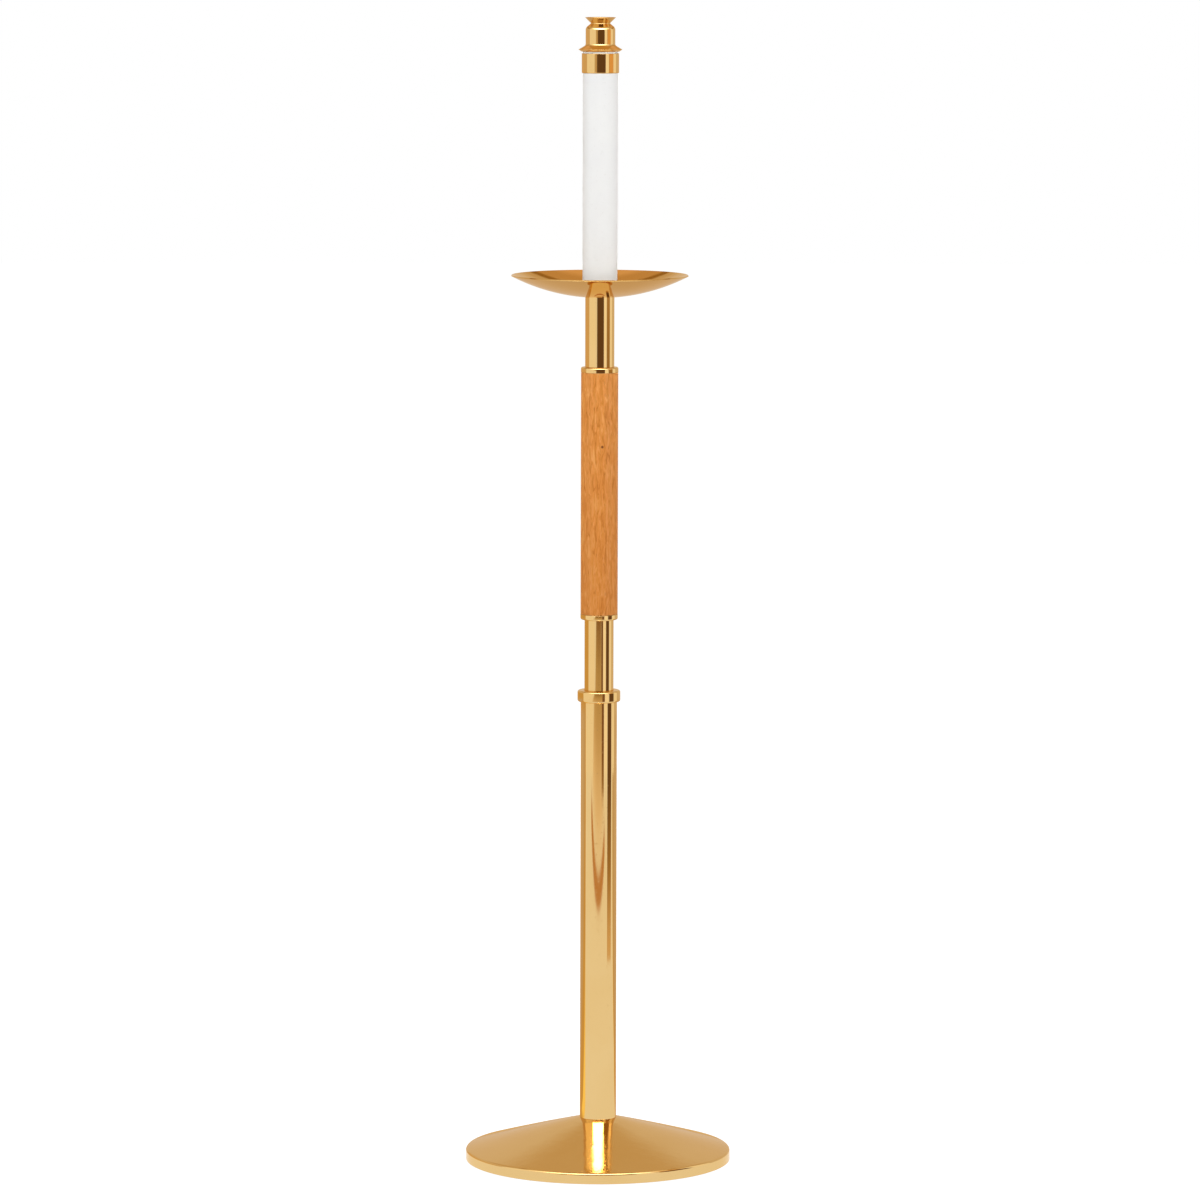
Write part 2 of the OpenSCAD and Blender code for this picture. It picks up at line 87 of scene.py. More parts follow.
def new_object(shape, name, material):
    """An object in the scene, made from a shape that is used up by it."""
    mesh = bpy.data.meshes.new(name)
    shape.to_mesh(mesh)
    shape.free()
    mesh.materials.append(material)
    made = bpy.data.objects.new(name, mesh)
    bpy.context.scene.collection.objects.link(made)
    return made


def finish_piece(shape, name, material, body, node):
    """Closes a shape, shades it smooth up to its sharp edges and puts it in place of its CAD node."""
    bmesh.ops.remove_doubles(shape, verts=shape.verts[:], dist=SAME_PLACE)
    bmesh.ops.recalc_face_normals(shape, faces=shape.faces[:])
    piece = new_object(shape, name, material)
    piece.data.shade_smooth()
    piece.data.set_sharp_from_angle(angle=SHARP_ANGLE)
    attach(piece, body)
    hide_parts(node)
    return piece


def true_walls(piece):
    """Lets large faces lead the shading, so that straight walls mirror straight up to their roundings."""
    even = piece.modifiers.new("true_walls", "WEIGHTED_NORMAL")
    even.weight = 100
    even.keep_sharp = True


def turned_piece(name, outline, material, body, node):
    """A piece turned from one outline."""
    shape = bmesh.new()
    spin_outline(shape, outline)
    true_walls(finish_piece(shape, name, material, body, node))


def set_inputs(tree, node, inputs):
    """Sets a node's inputs to values, or links them to sockets. Colours are given without an alpha."""
    for name, value in inputs.items():
        socket = node.inputs[name]
        if isinstance(value, bpy.types.NodeSocket):
            tree.links.new(value, socket)
        elif socket.type == "RGBA":
            socket.default_value = (*value, 1)
        else:
            socket.default_value = value


def add_node(tree, kind, inputs=None, **settings):
    """A shader node with its settings and inputs."""
    made = tree.nodes.new("ShaderNode" + kind)
    for setting, value in settings.items():
        setattr(made, setting, value)
    set_inputs(tree, made, inputs or {})
    return made


def add_group(tree, group, inputs):
    """The outputs of a node that holds a shared group."""
    return add_node(tree, "Group", inputs, node_tree=group).outputs


def calculate(tree, operation, *values):
    """The socket of a sum on values and sockets."""
    return add_node(tree, "Math", dict(enumerate(values)), operation=operation).outputs[0]


def map_range(tree, value, source, target):
    """The socket of a value moved from one range to another."""
    return add_node(tree, "MapRange", dict(enumerate((value, *source, *target)))).outputs[0]


def mix_colours(tree, factor, first, second):
    """The socket of two colours mixed by a factor."""
    return add_node(tree, "Mix", {0: factor, 6: first, 7: second}, data_type="RGBA").outputs[2]


def noise(tree, place, scale, detail, roughness=0.5, distortion=0.0):
    """The socket of soft noise over a place."""
    made = add_node(tree, "TexNoise", {"Vector": place, "Scale": scale, "Detail": detail,
                                       "Roughness": roughness, "Distortion": distortion})
    return made.outputs[0]


def bump_normal(tree, height, strength, depth):
    """The socket of a normal that follows a height."""
    return add_node(tree, "Bump", {"Strength": strength, "Distance": depth, "Height": height}).outputs[0]


def new_group(name, setting, results):
    """A node group that takes a place and one setting: its tree, these two sockets and its last node."""
    tree = bpy.data.node_groups.new(name, "ShaderNodeTree")
    tree.interface.new_socket(name="Vector", in_out="INPUT", socket_type="NodeSocketVector")
    tree.interface.new_socket(name=setting, in_out="INPUT", socket_type="NodeSocketFloat")
    for result in results:
        tree.interface.new_socket(name=result, in_out="OUTPUT", socket_type="NodeSocketFloat")
    given = tree.nodes.new("NodeGroupInput").outputs
    return tree, given["Vector"], given[setting], tree.nodes.new("NodeGroupOutput")


def turning_lines_group():
    """Fine lines that run round the axis, as a lathe or a polishing mop leaves them."""
    tree, place, density, result = new_group("turning_lines", "Density", ["Height"])
    flat = add_node(tree, "VectorMath", {0: place, 1: (1, 1, 0)}, operation="MULTIPLY").outputs[0]
    radius = add_node(tree, "VectorMath", {0: flat}, operation="LENGTH").outputs["Value"]
    height = add_node(tree, "SeparateXYZ", {0: place}).outputs["Z"]
    profile = add_node(tree, "CombineXYZ", {"X": radius, "Y": height}).outputs[0]
    lines = add_node(tree, "VectorMath", {0: profile, "Scale": density}, operation="SCALE").outputs[0]
    set_inputs(tree, result, {"Height": noise(tree, lines, scale=1.0, detail=3.0, roughness=0.65)})
    return tree


def handling_group():
    """Soft clouds and small flecks: wiped polish, touch marks and dust."""
    tree, place, scale, result = new_group("handling", "Scale", ["Clouds", "Flecks"])
    clouds = noise(tree, place, scale, detail=5.0, roughness=0.55, distortion=0.6)
    flecks = noise(tree, place, calculate(tree, "MULTIPLY", scale, FLECKS_PER_CLOUD), detail=2.0)
    set_inputs(tree, result, {"Clouds": map_range(tree, clouds, CLOUD_SPREAD, WHOLE),
                              "Flecks": map_range(tree, flecks, FLECK_SPREAD, WHOLE)})
    return tree


def ripples_group():
    """Shallow waves and small dents, as hand polishing and use leave them on thin sheet."""
    tree, place, scale, result = new_group("ripples", "Scale", ["Height"])
    set_inputs(tree, result, {"Height": noise(tree, place, scale, detail=2.0)})
    return tree


WHOLE = (0.0, 1.0)
CLOUD_SPREAD = (0.35, 0.7)
FLECK_SPREAD = (0.62, 0.75)
FLECKS_PER_CLOUD = 22.0
turning_lines = turning_lines_group()
handling = handling_group()
ripples = ripples_group()


def new_material(name):
    """A material with its node tree, its shader and the socket of the object's coordinates."""
    material = bpy.data.materials.new(name)
    material.use_nodes = True
    tree = material.node_tree
    place = add_node(tree, "TexCoord").outputs["Object"]
    return material, tree, tree.nodes["Principled BSDF"], place


def brass_material(name, bright, warm, gloss, dulled, line_density, line_depth, wave_depth):
    """Brass: two tones of metal in soft clouds, gloss that dulls with handling, turning lines and waves."""
    material, tree, shader, place = new_material(name)
    marks = add_group(tree, handling, {"Vector": place, "Scale": BRASS_CLOUD_SCALE})
    lines = add_group(tree, turning_lines, {"Vector": place, "Density": line_density})["Height"]
    waves = add_group(tree, ripples, {"Vector": place, "Scale": BRASS_WAVE_SCALE})["Height"]
    clouded = map_range(tree, marks["Clouds"], WHOLE, (gloss, dulled))
    lined = calculate(tree, "MULTIPLY_ADD", lines, dulled - gloss, clouded)
    uneven = calculate(tree, "MULTIPLY_ADD", waves, wave_depth / line_depth, lines)
    set_inputs(tree, shader, {
        "Base Color": mix_colours(tree, marks["Clouds"], bright, warm),
        "Roughness": calculate(tree, "MULTIPLY_ADD", marks["Flecks"], FLECK_DULLING, lined),
        "Normal": bump_normal(tree, uneven, strength=0.35, depth=line_depth),
        "Metallic": 1.0,
        "Specular Tint": BRASS_AT_GRAZING,
    })
    return material


BRASS_AT_GRAZING = (1.0, 0.90, 0.76)
POLISHED_BRASS = (0.80, 0.56, 0.25)
WARM_BRASS = (0.78, 0.53, 0.22)
BRASS_CLOUD_SCALE = 14.0
BRASS_WAVE_SCALE = 120.0
FLECK_DULLING = 0.12
spun_brass = brass_material("spun_brass", POLISHED_BRASS, WARM_BRASS, gloss=0.06, dulled=0.11,
                            line_density=1800.0, line_depth=0.000006, wave_depth=0.00032)
polished_brass = brass_material("polished_brass", POLISHED_BRASS, WARM_BRASS, gloss=0.03, dulled=0.05,
                                line_density=1400.0, line_depth=0.0000012, wave_depth=0.000004)

shell_low, shell_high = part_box("base_shell")
tube_low, tube_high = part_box("stand_tube")
BASE_WALL = 0.002
RIM_HEIGHT = 0.0098
RIM_ROUNDING = 0.0018
RIM_FOOT_ROUNDING = 0.0005
CLEAN_EDGE = 0.0003
CONE_BULGE = 0.0005
CONE_STEPS = 12
SPIGOT_HOLE_RADIUS = 0.00905
base_radius = shell_high.x
rim_top = shell_low.z + RIM_HEIGHT
stand_radius = tube_high.x
cone_slope = math.atan2(shell_high.z - rim_top, base_radius - stand_radius)
wall_drop = BASE_WALL / math.cos(cone_slope)
inner_rim_top = rim_top + BASE_WALL * math.tan(cone_slope) - wall_drop


def bulged_cone(top, rim):
    """Corners along the cone's slope, which bulges a little, without its two ends."""
    shares = [step / CONE_STEPS for step in range(1, CONE_STEPS)]
    out = Vector((math.sin(cone_slope), math.cos(cone_slope)))
    points = [top.lerp(rim, share) + 4 * CONE_BULGE * share * (1 - share) * out for share in shares]
    return [(point.x, point.y, 0) for point in points]


turned_piece("base_cone", [
    (SPIGOT_HOLE_RADIUS, shell_high.z, 0),
    (stand_radius, shell_high.z, 0),
    *bulged_cone(Vector((stand_radius, shell_high.z)), Vector((base_radius, rim_top))),
    (base_radius, rim_top, RIM_ROUNDING),
    (base_radius, shell_low.z, RIM_FOOT_ROUNDING),
    (base_radius - BASE_WALL, shell_low.z, CLEAN_EDGE),
    (base_radius - BASE_WALL, inner_rim_top, 0),
    *reversed(bulged_cone(Vector((stand_radius, shell_high.z - wall_drop)),
                          Vector((base_radius - BASE_WALL, inner_rim_top)))),
    (stand_radius, shell_high.z - wall_drop, 0),
    (SPIGOT_HOLE_RADIUS, shell_high.z - BASE_WALL, 0),
], spun_brass, "stand", "base_shell")


# The ballast: a cast-iron disc that fills the cone, painted black, with a recess below for the bolt.
# It hangs on the bolt and washer, which clamp it to the shell.
def cast_iron_material():
    """Painted sand casting: a coarse skin with a few rusty pits."""
    material, tree, shader, place = new_material("painted_casting")
    skin = noise(tree, place, scale=420.0, detail=5.0, roughness=0.7)
    pits = add_group(tree, handling, {"Vector": place, "Scale": 40.0})
    paint = mix_colours(tree, pits["Clouds"], IRON_BLACK, IRON_GREY)
    set_inputs(tree, shader, {
        "Base Color": mix_colours(tree, pits["Flecks"], paint, IRON_RUST),
        "Roughness": map_range(tree, skin, NOISE_SPREAD, CASTING_ROUGHNESS),
        "Normal": bump_normal(tree, skin, strength=0.6, depth=0.0004),
    })
    return material


IRON_BLACK = (0.018, 0.018, 0.020)
IRON_GREY = (0.045, 0.043, 0.042)
IRON_RUST = (0.09, 0.045, 0.022)
NOISE_SPREAD = (0.3, 0.7)
CASTING_ROUGHNESS = (0.45, 0.75)
weight_low, weight_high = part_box("ballast_weight")
washer_low, washer_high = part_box("base_washer")
RECESS_MARGIN = 0.0033
RECESS_ROUNDING = 0.0012
BOLT_HOLE_RADIUS = 0.0053
WEIGHT_INSET = 0.0024
WEIGHT_FOOT_ROUNDING = 0.0010
CAST_ROUNDING = 0.0008
weight_radius = weight_high.x
recess_radius = washer_high.x + RECESS_MARGIN
turned_piece("ballast", [
    (BOLT_HOLE_RADIUS, washer_high.z, 0),
    (recess_radius, washer_high.z, CAST_ROUNDING),
    (recess_radius, weight_low.z, RECESS_ROUNDING),
    (weight_radius, weight_low.z, WEIGHT_FOOT_ROUNDING),
    (weight_radius, rim_top - WEIGHT_INSET, CAST_ROUNDING),
    (stand_radius, weight_high.z, CAST_ROUNDING),
    (BOLT_HOLE_RADIUS, weight_high.z, 0),
], cast_iron_material(), "stand", "ballast_weight")


# The felt ring: green felt, cut from sheet and glued under the ballast.
# Its edge stands a little below the brass rim, so the base rests on felt alone.
def felt_material():
    """Pressed wool: short crossing fibres and a soft nap."""
    material, tree, shader, place = new_material("green_felt")
    fibres = noise(tree, place, scale=900.0, detail=6.0, distortion=2.5)
    set_inputs(tree, shader, {
        "Base Color": mix_colours(tree, fibres, FELT_DARK, FELT_GREEN),
        "Normal": bump_normal(tree, fibres, strength=0.8, depth=0.0005),
        "Roughness": 0.95,
        "Sheen Weight": 0.4,
    })
    return material


def ring_outline(box, bore, edges):
    """The outline of a plain ring that fills a box, with the roundings of its four corners."""
    low, high = box
    corners = ((bore, low.z), (high.x, low.z), (high.x, high.z), (bore, high.z))
    return [(*corner, edge) for corner, edge in zip(corners, edges)]


FELT_DARK = (0.012, 0.045, 0.022)
FELT_GREEN = (0.05, 0.13, 0.07)
felt_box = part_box("felt_ring")
FELT_WIDTH = 0.030
FINE_EDGE = 0.0002
SOFT_EDGE = 0.0006
felt_edges = (SOFT_EDGE, SOFT_EDGE, FINE_EDGE, FINE_EDGE)
turned_piece("felt_pad", ring_outline(felt_box, felt_box[1].x - FELT_WIDTH, felt_edges),
             felt_material(), "stand", "felt_ring")


# The base bolt and its washer: zinc-plated steel, screwed up from below into the foot plug.
# The tie rod, nut and washer inside the shaft have the same plating.
def zinc_material():
    """Bright zinc plate: fine drawn lines with a faint straw and blue cast."""
    material, tree, shader, place = new_material("zinc_plate")
    marks = add_group(tree, handling, {"Vector": place, "Scale": 60.0})
    lines = add_group(tree, turning_lines, {"Vector": place, "Density": 3000.0})["Height"]
    set_inputs(tree, shader, {
        "Base Color": mix_colours(tree, marks["Clouds"], ZINC_BLUE, ZINC_STRAW),
        "Roughness": map_range(tree, lines, NOISE_SPREAD, ZINC_ROUGHNESS),
        "Normal": bump_normal(tree, lines, strength=0.4, depth=0.00002),
        "Metallic": 1.0,
    })
    return material


def hexagon(shape, flats, low, high, chamfer):
    """Adds a hexagonal prism with broken edges at both ends."""
    made = bmesh.ops.create_circle(shape, cap_ends=True, segments=6, radius=flats / math.sqrt(3),
                                   matrix=Matrix.Translation((0, 0, low)))
    floor = made["verts"][0].link_faces[0]
    rise = bmesh.ops.extrude_face_region(shape, geom=[floor], use_keep_orig=True)["geom"]
    top = [item for item in rise if isinstance(item, bmesh.types.BMVert)]
    bmesh.ops.translate(shape, verts=top, vec=(0, 0, high - low))
    rims = [edge for edge in shape.edges
            if abs(edge.verts[0].co.z - edge.verts[1].co.z) < SAME_PLACE and edge.calc_length() < flats]
    bmesh.ops.bevel(shape, geom=rims, offset=chamfer, offset_type="OFFSET", segments=2, profile=0.5,
                    affect="EDGES", material=-1)


ZINC_BLUE = (0.58, 0.60, 0.64)
ZINC_STRAW = (0.62, 0.57, 0.46)
ZINC_ROUGHNESS = (0.22, 0.42)
zinc_plate = zinc_material()
bolt_low, bolt_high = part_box("base_bolt")
BOLT_FLATS = 0.017
BOLT_CHAMFER = 0.0007
SHANK_RADIUS = 0.005
SHANK_OVERLAP = 0.0005
SHANK_CHAMFER = 0.0009
SHANK_STEPS = 48
bolt_shape = bmesh.new()
hexagon(bolt_shape, BOLT_FLATS, bolt_low.z, washer_low.z, BOLT_CHAMFER)
spin_outline(bolt_shape, [
    (0, washer_low.z - SHANK_OVERLAP, 0),
    (SHANK_RADIUS, washer_low.z - SHANK_OVERLAP, 0),
    (SHANK_RADIUS, bolt_high.z, SHANK_CHAMFER),
    (0, bolt_high.z, 0),
], SHANK_STEPS)
finish_piece(bolt_shape, "bolt", zinc_plate, "stand", "base_bolt")
washer_edges = (FINE_EDGE, SOFT_EDGE, FINE_EDGE, FINE_EDGE)
turned_piece("bolt_washer", ring_outline((washer_low, washer_high), BOLT_HOLE_RADIUS, washer_edges),
             zinc_plate, "stand", "base_washer")


# The stand tube: brass pipe, polished, soldered to the foot plug below and into the mouth collar above.
# The foot plug and the socket's floor are turned from bar and stay inside it.
def dress_hidden(nodes, material):
    """Gives inner pieces, which stay as the CAD made them, their material."""
    for node in nodes:
        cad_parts[node].material_slots[0].material = material


TURNED_BRASS = (0.62, 0.42, 0.18)
DULL_BRASS = (0.50, 0.32, 0.13)
turned_brass = brass_material("turned_brass", TURNED_BRASS, DULL_BRASS, gloss=0.22, dulled=0.36,
                              line_density=900.0, line_depth=0.00004, wave_depth=0.00001)
STAND_WALL = 0.0032
bore_radius = stand_radius - STAND_WALL
pipe_edges = [FINE_EDGE] * 4
turned_piece("stand_pipe", ring_outline((tube_low, tube_high), bore_radius, pipe_edges),
             polished_brass, "stand", "stand_tube")
dress_hidden(["foot_plug", "socket_floor"], turned_brass)


# The mouth collar: turned from brass bar and soldered over the tube's end. Both outer edges are
# rounded, and the bore has a small bevel that guides the torch in.
collar_low, collar_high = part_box("mouth_collar")
LEAD_IN = 0.0008
MOUTH_ROUNDING = 0.0018
SOLDER_GAP = 0.00005
turned_piece("mouth_ring", [
    (bore_radius, collar_high.z - LEAD_IN, 0),
    (bore_radius + LEAD_IN, collar_high.z, CLEAN_EDGE),
    (collar_high.x, collar_high.z, MOUTH_ROUNDING),
    (collar_high.x, collar_low.z, MOUTH_ROUNDING),
    (stand_radius + SOLDER_GAP, collar_low.z, FINE_EDGE),
    (stand_radius + SOLDER_GAP, tube_high.z, 0),
    (bore_radius, tube_high.z, 0),
], polished_brass, "stand", "mouth_collar")


# The socket pad: a disc of pressed cork that lies loose in the socket and takes the torch's weight.
# It turns with the torch.
def cork_material():
    """Pressed cork: crumbs of several browns with dark joints."""
    material, tree, shader, place = new_material("pressed_cork")
    crumbs = add_node(tree, "TexVoronoi", {"Vector": place, "Scale": 700.0}).outputs
    set_inputs(tree, shader, {
        "Base Color": mix_colours(tree, crumbs["Color"], CORK_BROWN, CORK_PALE),
        "Normal": bump_normal(tree, crumbs["Distance"], strength=0.5, depth=0.0003),
        "Roughness": 0.9,
    })
    return material


CORK_BROWN = (0.16, 0.085, 0.040)
CORK_PALE = (0.38, 0.24, 0.12)
turned_piece("cork_disc", ring_outline(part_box("socket_pad"), 0, (0, CLEAN_EDGE, SOFT_EDGE, 0)),
             cork_material(), "socket_pad", "socket_pad")


# The end plug: turned brass in the shaft's lower end, hollow below for the tie nut and its washer.
# The tie rod runs from here to the candle peg and pulls the whole shaft together.
plug_low, plug_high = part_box("end_plug")
_, nut_washer_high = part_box("tie_washer")
lower_low, lower_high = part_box("lower_tube")
TORCH_WALL = 0.0029
ROD_HOLE_RADIUS = 0.00405
NUT_RECESS_RADIUS = 0.0083
SHAFT_END_ROUNDING = 0.0012
BROKEN_EDGE = 0.0004
torch_radius = lower_high.x
torch_bore = torch_radius - TORCH_WALL
plug_radius = torch_bore - SOLDER_GAP
turned_piece("shaft_end", [
    (ROD_HOLE_RADIUS, nut_washer_high.z, 0),
    (NUT_RECESS_RADIUS, nut_washer_high.z, CLEAN_EDGE),
    (NUT_RECESS_RADIUS, plug_low.z, SOFT_EDGE),
    (torch_radius, plug_low.z, SHAFT_END_ROUNDING),
    (torch_radius, lower_low.z, FINE_EDGE),
    (plug_radius, lower_low.z, 0),
    (plug_radius, plug_high.z, BROKEN_EDGE),
    (ROD_HOLE_RADIUS, plug_high.z, 0),
], turned_brass, "torch", "end_plug")
dress_hidden(["tie_rod", "tie_washer", "tie_nut"], zinc_plate)


# The lower and upper tubes: thinner brass pipe, polished. The lower one slides in the socket, and the
# upper one carries the pan, with a turned plug flush in its end.
for name, node in (("lower_pipe", "lower_tube"), ("upper_pipe", "upper_tube")):
    turned_piece(name, ring_outline(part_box(node), torch_bore, pipe_edges),
                 polished_brass, "torch", node)
dress_hidden(["top_plug"], turned_brass)


# The ferrules: turned brass rings at both ends of the grip, each with a spigot into the tube and one
# into the wood. The ring's edge is rounded on the tube's side.
FERRULE_SPIGOT = 0.008
FERRULE_ROUNDING = 0.0016
for name, node, low_rounding, high_rounding in (
    ("lower_ring", "lower_ferrule", FERRULE_ROUNDING, CLEAN_EDGE),
    ("upper_ring", "upper_ferrule", CLEAN_EDGE, FERRULE_ROUNDING),
):
    ring_low, ring_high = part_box(node)
    ring_bottom = ring_low.z + FERRULE_SPIGOT
    ring_top = ring_high.z - FERRULE_SPIGOT
    turned_piece(name, [
        (ROD_HOLE_RADIUS, ring_low.z, 0),
        (plug_radius, ring_low.z, BROKEN_EDGE),
        (plug_radius, ring_bottom, 0),
        (ring_high.x, ring_bottom, low_rounding),
        (ring_high.x, ring_top, high_rounding),
        (plug_radius, ring_top, 0),
        (plug_radius, ring_high.z, BROKEN_EDGE),
        (ROD_HOLE_RADIUS, ring_high.z, 0),
    ], polished_brass, "torch", node)


# The grip: a length of close-grained hardwood, turned, bored for the tie rod and varnished satin.
# The grain runs along it, with fine pores, a pin knot shows on the front, and a painted shade darkens it
# towards its bottom and its right side.
def drawn_out(tree, place, share, start=(0, 0, 0)):
    """The socket of a place whose height counts for a share, so that a pattern on it runs lengthwise."""
    made = add_node(tree, "Mapping", {"Vector": place, "Location": start, "Scale": (1.0, 1.0, share)})
    return made.outputs[0]


def tinted(tree, base, tint, mark, start, full, share):
    """The socket of a colour that a tint covers by a share, where a mark gets from its start to full."""
    return mix_colours(tree, map_range(tree, mark, (start, full), (0.0, share)), base, tint)


def wood_material(knot):
    """Varnished hardwood: growth rings cut lengthwise, long pores, flecks, one pin knot, and a painted
    shade that darkens it towards its bottom and its right side.
    """
    material, tree, shader, place = new_material("varnished_wood")
    off_pith = drawn_out(tree, place, 0.07, PITH)
    rings = add_node(tree, "TexWave", {"Vector": off_pith, "Scale": 62.0, "Distortion": 6.0, "Detail": 3.0,
                                       "Detail Scale": 1.6, "Detail Roughness": 0.6},
                     wave_type="RINGS", rings_direction="Z").outputs[0]
    pores = noise(tree, drawn_out(tree, place, 0.03), scale=1500.0, detail=3.0, roughness=0.6)
    short = drawn_out(tree, place, 0.17)
    figure = noise(tree, short, scale=430.0, detail=3.0, roughness=0.6, distortion=0.9)
    flecks = noise(tree, short, scale=1000.0, detail=1.0)
    # Painted shade: a ramp across the grip that darkens it towards its bottom and its right side.
    painted_shading = add_node(tree, "VectorMath", {0: place, 1: PAINTED_LIGHT_WAY}, operation="DOT_PRODUCT").outputs["Value"]
    from_knot = add_node(tree, "VectorMath", {0: place, 1: knot}, operation="DISTANCE").outputs["Value"]
    colour = RING_PALE
    for tint, mark, start, full, share in (
        (RING_BROWN, rings, 0.1, 0.9, 0.3),
        (FIGURE_PALE, figure, 0.50, 0.70, 0.9),
        (FIGURE_BROWN, figure, 0.48, 0.30, 0.9),
        (PORE_BROWN, pores, 0.58, 0.76, 0.45),
        (FLECK_BROWN, flecks, 0.66, 0.76, 0.5),
        # painted shade, not a tone of the wood
        (PAINTED_SHADE_BROWN, painted_shading, 0.436, 0.246, 0.4),
        (KNOT_BROWN, from_knot, KNOT_EDGE, KNOT_HEART, 0.95),
    ):
        colour = tinted(tree, colour, tint, mark, start, full, share)
    set_inputs(tree, shader, {
        "Base Color": colour,
        "Roughness": map_range(tree, pores, PORE_SPREAD, WOOD_ROUGHNESS),
        "Normal": bump_normal(tree, pores, strength=0.25, depth=0.00012),
        "Specular IOR Level": 0.16,
    })
    return material


RING_PALE = (0.78, 0.300, 0.061)
RING_BROWN = (0.63, 0.208, 0.034)
FIGURE_PALE = (0.88, 0.415, 0.120)
FIGURE_BROWN = (0.54, 0.161, 0.023)
PORE_BROWN = (0.40, 0.115, 0.018)
FLECK_BROWN = (0.36, 0.095, 0.015)
# The colour of the painted shade on the grip.
PAINTED_SHADE_BROWN = (0.43, 0.122, 0.019)
KNOT_BROWN = (0.15, 0.035, 0.010)
PITH = (0.048, 0.036, 0.0)
# The way across the grip in which the painted shade lightens: upwards and to the left.
PAINTED_LIGHT_WAY = (-2.4, 0.0, 0.55)
PORE_SPREAD = (0.3, 0.75)
WOOD_ROUGHNESS = (0.34, 0.52)
grip_low, grip_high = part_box("wood_grip")
GRIP_BORE_RADIUS = 0.00435
COUNTERBORE_DEPTH = 0.0083
GRIP_ROUNDING = 0.0005
KNOT_HEIGHT = 0.6621
KNOT_SIDE = 0.0026
KNOT_HEART = 0.0007
KNOT_EDGE = 0.0016
counterbore_radius = plug_radius + SOLDER_GAP
grip_radius = grip_high.x
knot_place = (KNOT_SIDE, -grip_radius, KNOT_HEIGHT)
turned_piece("grip", [
    (GRIP_BORE_RADIUS, grip_low.z + COUNTERBORE_DEPTH, 0),
    (counterbore_radius, grip_low.z + COUNTERBORE_DEPTH, 0),
    (counterbore_radius, grip_low.z, CLEAN_EDGE),
    (grip_radius, grip_low.z, GRIP_ROUNDING),
    (grip_radius, grip_high.z, GRIP_ROUNDING),
    (counterbore_radius, grip_high.z, CLEAN_EDGE),
    (counterbore_radius, grip_high.z - COUNTERBORE_DEPTH, 0),
    (GRIP_BORE_RADIUS, grip_high.z - COUNTERBORE_DEPTH, 0),
], wood_material(knot_place), "torch", "wood_grip")


# The drip pan: a shallow bowl of thin spun brass, polished inside and out, with a flat in the middle
# and a rim trimmed nearly square to the wall. The tube below and the peg above clamp it.
pan_low, pan_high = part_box("drip_pan")
candle_low, candle_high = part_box("candle_shell")
PAN_WALL = 0.0012
FLAT_MARGIN = 0.0012
PAN_ARC_STEPS = 28
RIM_EDGE_HEIGHT = 0.00102
RIM_EDGE_LEAN = 0.0001
pan_radius = pan_high.x
rim_edge_low = pan_high.z - RIM_EDGE_HEIGHT
pan_depth = rim_edge_low - pan_low.z
flat_radius = candle_high.x + FLAT_MARGIN
sphere_height = (pan_radius ** 2 - flat_radius ** 2 + pan_depth ** 2) / (2 * pan_depth)
sphere_radius = math.hypot(flat_radius, sphere_height)


def bowl_arc(radius, first, last):
    """Corners along the bowl's round, from one distance off the axis to another."""
    shares = [step / PAN_ARC_STEPS for step in range(PAN_ARC_STEPS + 1)]
    across = [first + (last - first) * share for share in shares]
    return [(x, pan_low.z + sphere_height - math.sqrt(radius ** 2 - x ** 2), 0) for x in across]


pan_brass = brass_material("pan_brass", POLISHED_BRASS, WARM_BRASS, gloss=0.03, dulled=0.055,
                           line_density=1800.0, line_depth=0.000004, wave_depth=0.00010)
inner_radius = sphere_radius - PAN_WALL
inner_rim = pan_radius * inner_radius / sphere_radius - RIM_EDGE_LEAN
inner_flat = math.sqrt(inner_radius ** 2 - (sphere_height - PAN_WALL) ** 2)
inner_arc = bowl_arc(inner_radius, inner_flat, inner_rim)
turned_piece("pan", [
    (ROD_HOLE_RADIUS, pan_low.z, 0),
    *bowl_arc(sphere_radius, flat_radius, pan_radius)[:-1],
    (pan_radius, rim_edge_low, FINE_EDGE),
    (*inner_arc[-1][:2], FINE_EDGE),
    *reversed(inner_arc[:-1]),
    (ROD_HOLE_RADIUS, pan_low.z + PAN_WALL, 0),
], pan_brass, "torch", "drip_pan")


# The candle peg: turned brass with a flange that clamps the pan, tapped below for the tie rod.
# The candle's shell drops over it.
peg_low, peg_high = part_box("candle_peg")
PEG_FLANGE = 0.003
PEG_GAP = 0.0001
PEG_ROUNDING = 0.0015
PEG_BORE_TOP = 0.0143
FLANGE_ROUNDING = 0.0005
SHELL_WALL = 0.003175
shell_bore = candle_high.x - SHELL_WALL
peg_radius = shell_bore - PEG_GAP
seat_height = peg_low.z + PEG_FLANGE
turned_piece("peg", [
    (0, seat_height + PEG_BORE_TOP, 0),
    (ROD_HOLE_RADIUS, seat_height + PEG_BORE_TOP, 0),
    (ROD_HOLE_RADIUS, peg_low.z, CLEAN_EDGE),
    (peg_high.x, peg_low.z, CLEAN_EDGE),
    (peg_high.x, seat_height, FLANGE_ROUNDING),
    (peg_radius, seat_height, CLEAN_EDGE),
    (peg_radius, peg_high.z, PEG_ROUNDING),
    (0, peg_high.z, 0),
], turned_brass, "torch", "candle_peg")


